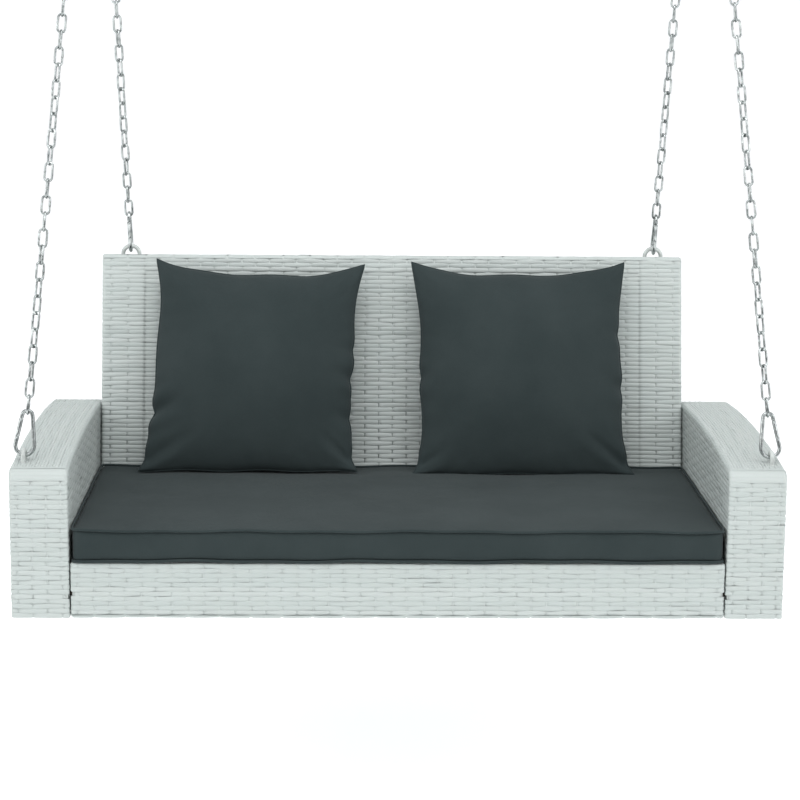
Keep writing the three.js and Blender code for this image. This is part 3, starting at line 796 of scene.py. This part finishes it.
def lathe(profile, sides=16):
    """A round shape from (radius, height) pairs, about Z, closed at both ends."""
    turn = 2 * math.pi * np.arange(sides) / sides
    rings = [np.stack([r * np.cos(turn), r * np.sin(turn), np.full(sides, h)], 1)
             for r, h in profile]
    count = len(rings)
    i, k = np.arange(count - 1)[:, None], np.arange(sides)[None, :]
    m = (k + 1) % sides
    quads = np.stack([i * sides + k, i * sides + m, (i + 1) * sides + m, (i + 1) * sides + k], -1)
    ends = [list(range(sides))[::-1], [(count - 1) * sides + n for n in range(sides)]]
    return np.concatenate(rings), quads.reshape(-1, 4), ends


# ---- snap hooks ----

SNAP_LENGTH, SNAP_WIRE = 80.0, 6.5
WIDE, NARROW = 15.5, 8.5
GATE_ROD, GATE_START, GATE_END, PIVOT_AT = 6.8, 6.0, 37.0, 9.0
TOP_BOW = SNAP_LENGTH - SNAP_WIRE
NARROW_Z = TOP_BOW - NARROW
TAPER = math.asin((WIDE - NARROW) / (NARROW_Z - WIDE))


def gate_side(distance):
    return np.array([-NARROW * math.cos(TAPER) - distance * math.sin(TAPER), 0,
                     NARROW_Z + NARROW * math.sin(TAPER) - distance * math.cos(TAPER)])


def arc(centre_z, radius, start, end, steps):
    turn = np.linspace(start, end, steps)
    return [np.array([radius * math.cos(t), 0, centre_z + radius * math.sin(t)]) for t in turn]


def snap_body():
    """The bent wire, from the nose under the gate round to the gate's neck."""
    nose, neck = gate_side(GATE_END + 1.0), gate_side(PIVOT_AT - 4.4)
    path = [nose, nose + (gate_side(GATE_END + 8) - nose) * 0.5]
    path += arc(WIDE, WIDE, math.pi - TAPER, 2 * math.pi + TAPER, 22)
    path += arc(NARROW_Z, NARROW, TAPER, math.pi - TAPER, 14)
    path.append(neck)
    return round_wire(path, SNAP_WIRE / 2, 16, cap=0.35)


def snap_gate():
    steps = np.linspace(GATE_START + 0.6, GATE_END - 0.6, 8)
    return round_wire([gate_side(d) for d in steps], GATE_ROD / 2, 16, cap=0.3)


def snap_rivet():
    half = GATE_ROD / 2 + 0.5
    profile = [(0.3, -half - 0.2), (1.2, -half), (1.9, -half + 0.7), (1.9, half - 0.7),
               (1.2, half), (0.3, half + 0.2)]
    verts, quads, ends = lathe(profile, 14)
    verts = verts @ about((1, 0, 0), math.pi / 2).T
    return verts + gate_side(PIVOT_AT), quads, ends


def tongue():
    """The flattened end of the wire, held in the gate by the rivet."""
    steps = [gate_side(PIVOT_AT - 6.5), gate_side(PIVOT_AT - 2), gate_side(PIVOT_AT + 2)]
    return round_wire(steps, 1.6, 10)


def add_snap(label, turn, origin):
    turn = np.asarray(turn, float)
    body = Solids(f"snap_hook_{label}")
    body.add(snap_body(), turn, origin)
    body.add(tongue(), turn, origin)
    place(body.finish(), "swing", ZINC, "zinc", f"snap_body_{label}")
    rivet = Solids(f"hook_rivet_{label}")
    rivet.add(snap_rivet(), turn, origin)
    place(rivet.finish(), "swing", ZINC, "zinc", f"snap_rivet_{label}")
    gate = Solids(f"hook_gate_{label}")
    gate.add(snap_gate(), turn, origin)
    place(gate.finish(), f"gate_{label}", ZINC, "zinc", f"snap_gate_{label}")


# ---- chains ----

LINK_WIRE, LINK_LENGTH, LINK_WIDTH, LINK_SPREAD = 4.0, 35.2, 17.0, 6.0
HOOK_PLAY, GAP = 0.8, 0.3
FIRST_LINK = TOP_BOW - SNAP_WIRE / 2 - GAP - LINK_WIRE / 2
LINK_HANG = WIDE - (SNAP_WIRE / 2 + GAP + LINK_WIRE / 2)
LINK_TURN = math.asin(LINK_SPREAD / WIDE)


def link():
    """A welded link in X and Z, its lowest wire centred at z = 0, the weld on one side."""
    bend = (LINK_WIDTH - LINK_WIRE) / 2
    high = LINK_LENGTH - LINK_WIRE - bend
    path = arc(bend, bend, math.pi, 2 * math.pi, 9)
    middle = (bend + high) / 2
    path += [np.array([bend, 0, middle + d]) for d in (-2.2, -0.9, 0, 0.9, 2.2)]
    path += arc(high, bend, 0, math.pi, 9)
    radius = np.full(len(path), LINK_WIRE / 2)
    radius[10:13] += [0.16, 0.34, 0.16]
    return round_wire(path, radius, 10, closed=True)


def twist(run, step):
    """How far the chain has turned about itself at a link, in degrees."""
    return 6.7 * step + 0.0289 * step * step if run == "front" else 5.6 * step - 0.0167 * step ** 2


def centre(box, z):
    return np.array([(box[0].x + box[1].x) / 2, (box[0].y + box[1].y) / 2, z])


def from_bench(point):
    return (np.asarray(point) - ORIGIN) / MM


def add_run(run, label, side, eye_rod, towards, snap_turn, first_turn):
    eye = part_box(f"{'arm' if run == 'front' else 'back'}_eye_{label}")
    start = from_bench(centre(eye, eye[1].z)) - [0, 0, eye_rod + HOOK_PLAY + SNAP_WIRE / 2]
    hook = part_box(f"snap_body_top_{label}")
    bow = from_bench(centre(hook, hook[0].z)) + [0, 0, SNAP_WIRE / 2]
    bow[0] = from_bench(centre(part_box(f"ceiling_hanger_{label}"), 0))[0]
    bow[1] = from_bench((0, 0, 0))[1]
    end = bow + [0, towards * LINK_HANG * math.sin(LINK_TURN),
                 WIDE - LINK_HANG * math.cos(LINK_TURN)]
    pull = end - start
    length = np.linalg.norm(pull)
    up = pull / length
    across = X_AXIS - up * up[0]
    across /= np.linalg.norm(across)
    axes = np.stack([across, np.cross(up, across), up], 1)
    add_snap(f"{run}_{label}", axes @ about((0, 0, 1), snap_turn), start)
    reach = LINK_LENGTH - LINK_WIRE
    links = 46 if run == "front" else 37
    pitch = (length - reach - FIRST_LINK) / (links - 1)
    chain = Solids(f"chain_links_{run}_{label}")
    shape = link()
    whole = 360 if run == "front" else 180
    for i in range(links):
        spun = twist(run, i) * whole / twist(run, links - 1) * side
        turn = axes @ about((0, 0, 1), math.radians(first_turn + 90 * i + spun))
        chain.add(shape, turn, start + up * (FIRST_LINK + i * pitch))
    place(chain.finish(), "swing", ZINC, "zinc", f"chain_{run}_{label}")
    return bow


def eye_path(half_width, rise, foot, steps=17):
    """An arch in X and Z: two legs joined by half a ring."""
    bend = rise - half_width
    path = [np.array([-half_width, 0, foot]), np.array([-half_width, 0, (foot + bend) / 2])]
    path += arc(bend, half_width, math.pi, 0, steps)
    path += [np.array([half_width, 0, (foot + bend) / 2]), np.array([half_width, 0, foot])]
    return path


def add_eye(label, part, rod, half_width, turn):
    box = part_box(f"{part}_eye_{label}")
    middle = from_bench(centre(box, box[1].z))
    foot = from_bench(box[0])[2]
    rise = middle[2] - foot - rod / 2
    shape = Solids(f"{part}_loop_{label}")
    shape.add(round_wire(eye_path(half_width, rise, 0), rod / 2, 16), about((0, 0, 1), turn),
              [middle[0], middle[1], foot])
    place(shape.finish(), "swing", EYE_COAT, "frame", f"{part}_eye_{label}")


EYE_COAT = coat_material("eye_coat", (0.60, 0.64, 0.62), (0.40, 0.42, 0.41), 0.38, 0.15, 80.0)

ARM_ROD, ARM_RING = 8.0, 10.0
BACK_ROD, BACK_RING = 7.5, 15.2
QUARTER = math.pi / 2

for name, sign in (("left", -1), ("right", 1)):
    add_run("front", name, sign, ARM_ROD, -1, math.pi if sign > 0 else 0.0, 90)
    top = add_run("rear", name, sign, BACK_ROD, 1, QUARTER, 0)
    add_snap(f"top_{name}", about((0, 0, 1), QUARTER), top)
    add_eye(name, "arm", ARM_ROD, ARM_RING, QUARTER)
    add_eye(name, "back", BACK_ROD, BACK_RING, 0.0)

# ---- cushions ----


def fabric_material(name, dark, light):
    """Woven polyester: a fine plain weave with soft changes of tone."""
    material, tree = node_material(name)
    shader = tree.nodes["Principled BSDF"]
    coords = tree.nodes.new("ShaderNodeTexCoord")
    parts = tree.nodes.new("ShaderNodeSeparateXYZ")
    tree.links.new(coords.outputs["Object"], parts.inputs[0])
    waves = [math_node(tree, "SINE",
                       math_node(tree, "MULTIPLY", parts.outputs[n], 5200.0), 0)
             for n in range(3)]
    weave = math_node(tree, "MULTIPLY", waves[0],
                      math_node(tree, "ADD", waves[1], waves[2]))
    tone = scaled(tree, noise(tree, 9.0, 3.0), 0.3, 0.7, 0, 1)
    slub = scaled(tree, noise(tree, 420.0, 2.0), 0.25, 0.75, -0.18, 0.18)
    tree.links.new(mix_colour(tree, math_node(tree, "ADD", tone, slub), dark, light),
              shader.inputs["Base Color"])
    normal = bump(tree, weave, 0.35, 0.0002)
    soft = noise(tree, 26.0, 2.0)
    tree.links.new(bump(tree, soft, 0.25, 0.004, normal), shader.inputs["Normal"])
    shader.inputs["Roughness"].default_value = 0.88
    shader.inputs["Specular IOR Level"].default_value = 0.15
    shader.inputs["Sheen Weight"].default_value = 0.06
    shader.inputs["Sheen Roughness"].default_value = 0.5
    return material


FABRIC = fabric_material("slate_fabric", (0.0236, 0.0338, 0.0347), (0.0306, 0.042, 0.0429))
PIPING = fabric_material("slate_piping", (0.022, 0.032, 0.033), (0.030, 0.042, 0.043))


def coordinates(obj):
    flat = np.zeros(len(obj.data.vertices) * 3, np.float32)
    obj.data.vertices.foreach_get("co", flat)
    return flat.reshape(-1, 3).astype(float)


def write_coordinates(obj, co):
    obj.data.vertices.foreach_set("co", np.asarray(co, np.float32).ravel())
    obj.data.update()


def inflate(obj, pressure, frames, cap, pins):
    """Swells the cloth between its pinned seams; no point moves further than the cap."""
    start = coordinates(obj)
    group = obj.vertex_groups.new(name="seam")
    group.add([int(n) for n in pins], 1.0, "REPLACE")
    cloth = obj.modifiers.new("cloth", "CLOTH")
    settings = cloth.settings
    settings.quality, settings.mass = 5, 0.3
    settings.tension_stiffness = settings.compression_stiffness = 12
    settings.bending_stiffness = 0.3
    settings.use_pressure, settings.uniform_pressure_force = True, pressure
    settings.vertex_group_mass = "seam"
    settings.effector_weights.gravity = 0
    cloth.collision_settings.use_collision = False
    cloth.point_cache.frame_end = frames
    for n in range(1, frames + 1):
        bpy.context.scene.frame_set(n)
    depsgraph = bpy.context.evaluated_depsgraph_get()
    swollen = obj.evaluated_get(depsgraph).to_mesh()
    moved = np.zeros(len(start) * 3, np.float32)
    swollen.vertices.foreach_get("co", moved)
    moved = moved.reshape(-1, 3) - start
    obj.evaluated_get(depsgraph).to_mesh_clear()
    obj.modifiers.remove(cloth)
    bpy.context.scene.frame_set(1)
    size = np.linalg.norm(moved, axis=1)
    moved *= (cap * np.tanh(size / cap) / np.maximum(size, 1e-9))[:, None]
    write_coordinates(obj, start + moved)


def subdivide(obj):
    modifier = obj.modifiers.new("smooth", "SUBSURF")
    modifier.levels = modifier.render_levels = 1


def box_grid(*counts):
    """A closed box of cells: points from -1 to 1 on each side, and quads."""
    index, points, quads = {}, [], []
    steps = (((0, 0), (0, 1), (1, 1), (1, 0)), ((0, 0), (1, 0), (1, 1), (0, 1)))

    def point(axes, place):
        cell = [0, 0, 0]
        for axis, value in zip(axes, place):
            cell[axis] = value
        key = tuple(cell)
        if key not in index:
            index[key] = len(points)
            points.append([2 * value / count - 1 for value, count in zip(key, counts)])
        return index[key]

    for axes, first in (((0, 1, 2), 0), ((0, 2, 1), 1), ((1, 2, 0), 0)):
        wide, high, levels = (counts[axis] for axis in axes)
        for p in range(wide):
            for q in range(high):
                for level, way in ((0, first), (levels, 1 - first)):
                    quads.append([point(axes, (p + dp, q + dq, level)) for dp, dq in steps[way]])
    return np.array(points), np.array(quads)


CUSHION_ROUND = 10.0


def cushion_box():
    low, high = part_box("seat_cushion")
    return from_bench(np.array(low)), from_bench(np.array(high))


def cushion_outline(u, v, low, high, top):
    """A rounded rectangle's point for a square's point, in X and Y."""
    lean = 0.0 if top < 0.5 else 12.0
    half_x = (high[0] - low[0]) / 2 + 1.2
    y0, y1 = low[1] + 2, high[1] - 14 + lean
    x, y = u * half_x, y0 + (v + 1) / 2 * (y1 - y0)
    near = np.maximum(np.abs(u) * half_x - (half_x - CUSHION_ROUND), 0)
    back = np.maximum(np.abs(y - (y0 + y1) / 2) - ((y1 - y0) / 2 - CUSHION_ROUND), 0)
    far = np.hypot(near, back)
    over = np.where(np.minimum(near, back) > 0, np.maximum(near, back) / np.maximum(far, 1e-6), 1)
    x = x - np.sign(u) * near * (1 - over)
    y = y - np.sign(v) * back * (1 - over)
    return x, y


def seam_wave(x, y, phase):
    """A sewn edge is never quite straight."""
    return (0.9 * np.sin(x * 0.021 + phase) + 0.7 * np.sin(x * 0.047 + 2.1 * phase)
            + 0.6 * np.sin(y * 0.037 + phase))


def build_seat_cushion():
    low, high = cushion_box()
    grid, quads = box_grid(108, 50, 6)
    u, v, w = grid.T
    top = (w + 1) / 2
    x, y = cushion_outline(u, v, low, high, 0.0)
    xt, yt = cushion_outline(u, v, low, high, 1.0)
    x, y = x + (xt - x) * top, y + (yt - y) * top
    z_low, z_high = low[2] + 2.6, high[2] - 2.2
    inside = (1 - u ** 6) * (1 - v ** 6)
    z = z_low + (z_high - z_low) * top
    z = z + seam_wave(x, y, 0.6) * top + seam_wave(x, y, 2.4) * (1 - top) * (1 - inside)
    crown = np.where(w > 0.999, 3.0, 0.0) * inside
    hollows = 1.4 * np.sin(x * 0.013 + 1.0) * np.sin(y * 0.017 + 0.4) * inside * (w > 0.999)
    verts = np.stack([x, y, z + crown + hollows], 1)
    obj = new_mesh("seat_cushion_cover", verts, quads)
    side = (np.abs(u) > 0.999) | (np.abs(v) > 0.999)
    seams = np.where(side & (np.abs(w) > 0.999))[0]
    floor = np.where((w < -0.999) & ~side)[0]
    inflate(obj, 3.0, 16, 0.007, np.concatenate([seams, floor]))
    subdivide(obj)
    place(obj, "cushion", FABRIC, "fabric", "seat_cushion")
    cord = Solids("seat_cushion_piping")
    for level, lift in ((1.0, 0.5), (0.0, -0.2)):
        ring = np.linspace(0, 1, 160, endpoint=False)
        path_u = np.interp(ring, [0, 0.35, 0.5, 0.85, 1], [-1, 1, 1, -1, -1])
        path_v = np.interp(ring, [0, 0.35, 0.5, 0.85, 1], [-1, -1, 1, 1, -1])
        x, y = cushion_outline(path_u, path_v, low, high, level)
        z = z_low + (z_high - z_low) * level + seam_wave(x, y, 0.6 if level else 2.4) + lift
        out = np.stack([np.sign(path_u) * (np.abs(path_u) > 0.98),
                        np.sign(path_v) * (np.abs(path_v) > 0.98)], 1) * 1.1
        path = np.stack([x + out[:, 0], y + out[:, 1], z], 1)
        cord.add(round_wire(path, 2.3, 10, closed=True))
    place(cord.finish(), "cushion", PIPING, "fabric", "seat_cushion")


PILLOW_SIDE, PILLOW_LEAN = 398.0, math.radians(21.3)
PILLOW_FOOT_Y, PILLOW_FOOT_Z = 414.0, 154.0
PILLOW_SWELL, PILLOW_RIM = 50.0, 2.2
# How far the sides draw in, then the top and the bottom, as shares of half a side.
PILLOW_DRAW, PILLOW_DIPS = 0.078, (0.135, 0.008)
# How each corner of a pillow strays from a true square, across and up.
PILLOW_CORNERS = {
    "left": {(-1, 1): (18, 4), (1, 1): (1, -6), (-1, -1): (-9, 5), (1, -1): (-12, 4)},
    "right": {(-1, 1): (0, 0), (1, 1): (-4, 2), (-1, -1): (3, -1), (1, -1): (4, 0)},
}


# Creases that run in from the seam: from, to, depth.
PILLOW_CREASES = {
    "left": [((-1, -0.47), (-0.72, -0.34), 6.0), ((1, -0.12), (0.84, -0.02), 3.5),
             ((1, 0.16), (0.86, 0.22), 2.5), ((-0.96, -0.9), (-0.62, -0.62), 4.0),
             ((0.96, -0.88), (0.7, -0.6), 4.0), ((1, -0.5), (0.8, -0.42), 3.0)],
    "right": [((1, -0.2), (0.78, -0.1), 3.0), ((-1, -0.1), (-0.84, 0.04), 3.0),
              ((0.96, -0.9), (0.6, -0.6), 4.5), ((-0.95, -0.9), (-0.66, -0.66), 4.0),
              ((1, 0.3), (0.82, 0.34), 2.5)],
}


def pillow_shape(u, v, w, label, phase):
    """Points of a knife-edged pillow in its own plane: across, out of the plane, up."""
    half = PILLOW_SIDE / 2
    full = np.clip((1 - u * u) * (1 - v * v), 0, 1) ** 0.62
    swell = full * PILLOW_SWELL
    angle = np.arctan2(1.0001 - np.abs(v), 1.0001 - np.abs(u))
    corner = np.exp(-(((1 - np.abs(u)) ** 2 + (1 - np.abs(v)) ** 2) / 0.16))
    folds = np.sin(angle * 9 + phase + np.sign(u) * 1.3 + np.sign(v) * 0.7) * corner * full * 7
    edge_u, edge_v = np.exp(-(1 - np.abs(u)) / 0.12), np.exp(-(1 - np.abs(v)) / 0.12)
    puckers = (edge_v * np.sin(u * 31 + phase + 2 * v) + edge_u * np.sin(v * 29 - phase + 2 * u))
    puckers = puckers * full ** 0.5 * 2.0
    creases = 1.6 * np.sin(3.1 * u + 2.3 * v + phase) * np.sin(2.2 * u - 3.4 * v) * full
    out = np.sign(w) * (swell + folds + puckers + creases + PILLOW_RIM)
    x = half * u * (1 - PILLOW_DRAW * (1 - np.abs(v) ** np.where(v > 0, 3.0, 8.0)))
    z = half * v * (1 - np.where(v > 0, *PILLOW_DIPS) * (1 - np.abs(u) ** 3.4))
    x = x + 1.6 * np.sin(v * 7 + phase) * np.abs(u) ** 8 * np.sign(u)
    z = z + 1.5 * np.sin(u * 9 + phase) * np.abs(v) ** 8
    for (au, av), (bu, bv), deep in PILLOW_CREASES[label]:
        along_u, along_v = bu - au, bv - av
        share = np.clip(((u - au) * along_u + (v - av) * along_v)
                        / (along_u ** 2 + along_v ** 2), 0, 1)
        gap = np.hypot(u - au - share * along_u, v - av - share * along_v)
        dent = deep * (1 - 0.85 * share) * np.exp(-((gap / 0.045) ** 2))
        ridge = 0.55 * deep * (1 - 0.8 * share) * np.exp(-(((gap - 0.12) / 0.06) ** 2))
        out = out - np.sign(w) * (dent - ridge)
        x = x - np.sign(au) * (dent - ridge) * 0.8 * (np.abs(au) > 0.9) * np.abs(u) ** 6
    for (cu, cv), (dx, dz) in PILLOW_CORNERS[label].items():
        share = (1 + cu * u) * (1 + cv * v) / 4
        x, z = x + dx * share, z + dz * share
    return x, out, z + half


def build_pillow(label, phase):
    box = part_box(f"pillow_{label}")
    middle = from_bench(centre(box, 0))[0]
    cells = 64
    grid, quads = box_grid(cells, 1, cells)
    u, v = (0.35 * np.sin(grid[:, n] * math.pi / 2) + 0.65 * grid[:, n] for n in (0, 2))
    w = grid[:, 1]
    x, out, z = pillow_shape(u, v, w, label, phase)
    lean = PILLOW_LEAN
    verts = np.stack([
        middle + x,
        PILLOW_FOOT_Y + out * math.cos(lean) + z * math.sin(lean),
        PILLOW_FOOT_Z - out * math.sin(lean) + z * math.cos(lean),
    ], 1)
    obj = new_mesh(f"pillow_cover_{label}", verts, quads)
    seam = np.where((np.abs(u) > 0.999) | (np.abs(v) > 0.999))[0]
    inflate(obj, 4.0, 16, 0.012, seam)
    subdivide(obj)
    place(obj, f"{label}_pillow", FABRIC, "fabric", f"pillow_{label}")
    cord = Solids(f"pillow_seam_{label}")
    ring = np.linspace(0, 4, 240, endpoint=False)
    path_u = np.interp(ring, [0, 1, 2, 3, 4], [-1, 1, 1, -1, -1])
    path_v = np.interp(ring, [0, 1, 2, 3, 4], [-1, -1, 1, 1, -1])
    x, _, z = pillow_shape(path_u, path_v, np.ones(240), label, phase)
    path = np.stack([middle + x, PILLOW_FOOT_Y + z * math.sin(lean),
                     PILLOW_FOOT_Z + z * math.cos(lean)], 1)
    cord.add(round_wire(path, 1.7, 8, closed=True))
    place(cord.finish(), f"{label}_pillow", PIPING, "fabric", f"pillow_{label}")


build_seat_cushion()
build_pillow("left", 0.4)
build_pillow("right", 2.2)


for node_name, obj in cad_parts.items():
    if obj.hide_render:
        continue
    finish = BOLT if "bolt" in node_name else FRAME_COAT if "frame" in node_name else ZINC
    obj.data.materials.clear()
    obj.data.materials.append(finish)


# ---- camera, floor and light ----


def make_camera():
    """The view is from the front, a little above and to the left of the middle."""
    yaw, pitch, roll = 0.0268, 0.185, 0.0088
    forward = Vector((math.sin(yaw) * math.cos(pitch), math.cos(yaw) * math.cos(pitch),
                      -math.sin(pitch)))
    right = Vector((math.cos(yaw), -math.sin(yaw), 0))
    up = right.cross(forward)
    right, up = (right + roll * up).normalized(), (up - roll * right).normalized()
    data = bpy.data.cameras.new("camera")
    data.lens, data.sensor_width = 104.55, 36.0
    camera = bpy.data.objects.new("camera", data)
    camera.matrix_world = Matrix((
        (right.x, up.x, -forward.x, -0.1004),
        (right.y, up.y, -forward.y, -3.7202 + ORIGIN[1]),
        (right.z, up.z, -forward.z, 1.0652 + ORIGIN[2]),
        (0, 0, 0, 1),
    ))
    bpy.context.scene.collection.objects.link(camera)
    bpy.context.scene.camera = camera


FLOOR_DROP = 0.42


def make_stage():
    """A pale floor that curves up into a backdrop."""
    floor_z = ORIGIN[2] - FLOOR_DROP
    radius, far, half, near, top = 2.0, 9.0, 16.0, -11.0, 12.0
    outline = [(near, floor_z), (far - radius, floor_z)]
    for k in range(1, 17):
        turn = math.pi / 2 * k / 16
        outline.append((far - radius + radius * math.sin(turn),
                        floor_z + radius * (1 - math.cos(turn))))
    outline.append((far, top))
    verts = [(x, y, z) for y, z in outline for x in (-half, half)]
    quads = [(2 * i, 2 * i + 1, 2 * i + 3, 2 * i + 2) for i in range(len(outline) - 1)]
    mesh = bpy.data.meshes.new("floor")
    mesh.from_pydata(verts, [], quads)
    mesh.polygons.foreach_set("use_smooth", [True] * len(mesh.polygons))
    floor = bpy.data.objects.new("floor", mesh)
    bpy.context.scene.collection.objects.link(floor)
    material, tree = node_material("pale_floor")
    shader = tree.nodes["Principled BSDF"]
    shader.inputs["Base Color"].default_value = (0.93, 0.935, 0.935, 1)
    shader.inputs["Roughness"].default_value = 0.9
    shader.inputs["Specular IOR Level"].default_value = 0.1
    shader.inputs["Emission Color"].default_value = (1, 1, 1, 1)
    shader.inputs["Emission Strength"].default_value = 0.3
    mesh.materials.append(material)


def soft_box(name, place_at, target, width, height, power, colour=(1, 1, 1)):
    data = bpy.data.lights.new(name, "AREA")
    data.shape, data.size, data.size_y = "RECTANGLE", width, height
    data.energy, data.color = power, colour
    light = bpy.data.objects.new(name, data)
    light.location = place_at
    way = Vector(target) - Vector(place_at)
    light.rotation_mode = "QUATERNION"
    light.rotation_quaternion = way.to_track_quat("-Z", "Y")
    bpy.context.scene.collection.objects.link(light)


def make_light():
    world = bpy.data.worlds.new("studio")
    bpy.context.scene.world = world
    world.use_nodes = True
    tree = world.node_tree
    coords = tree.nodes.new("ShaderNodeTexCoord")
    parts = tree.nodes.new("ShaderNodeSeparateXYZ")
    tree.links.new(coords.outputs["Generated"], parts.inputs[0])
    towards_back = scaled(tree, parts.outputs["Y"], -0.5, 0.3, 0.0, 1.0)
    overhead = scaled(tree, parts.outputs["Z"], 0.1, 0.7, 0.0, 1.0)
    bright = math_node(tree, "MAXIMUM", towards_back, overhead)
    background = tree.nodes["Background"]
    tree.links.new(mix_colour(tree, bright, (0.26, 0.265, 0.27), (0.93, 0.95, 0.97)),
              background.inputs["Color"])
    background.inputs["Strength"].default_value = 0.78
    seat = (0, 0, ORIGIN[2] + 0.25)
    soft_box("key", (-2.4, -4.4, 1.3), seat, 3.0, 2.4, 39)
    soft_box("fill", (2.8, -4.2, 1.1), seat, 2.6, 2.4, 30)
    soft_box("overhead", (0, -1.8, 2.3), seat, 3.4, 2.0, 88)
    soft_box("side_left", (-3.4, -1.4, -0.2), seat, 1.6, 2.0, 34)
    soft_box("side_right", (3.4, -1.4, -0.2), seat, 1.6, 2.0, 32)


make_camera()
make_stage()
make_light()
bpy.context.scene.view_settings.view_transform = "Standard"
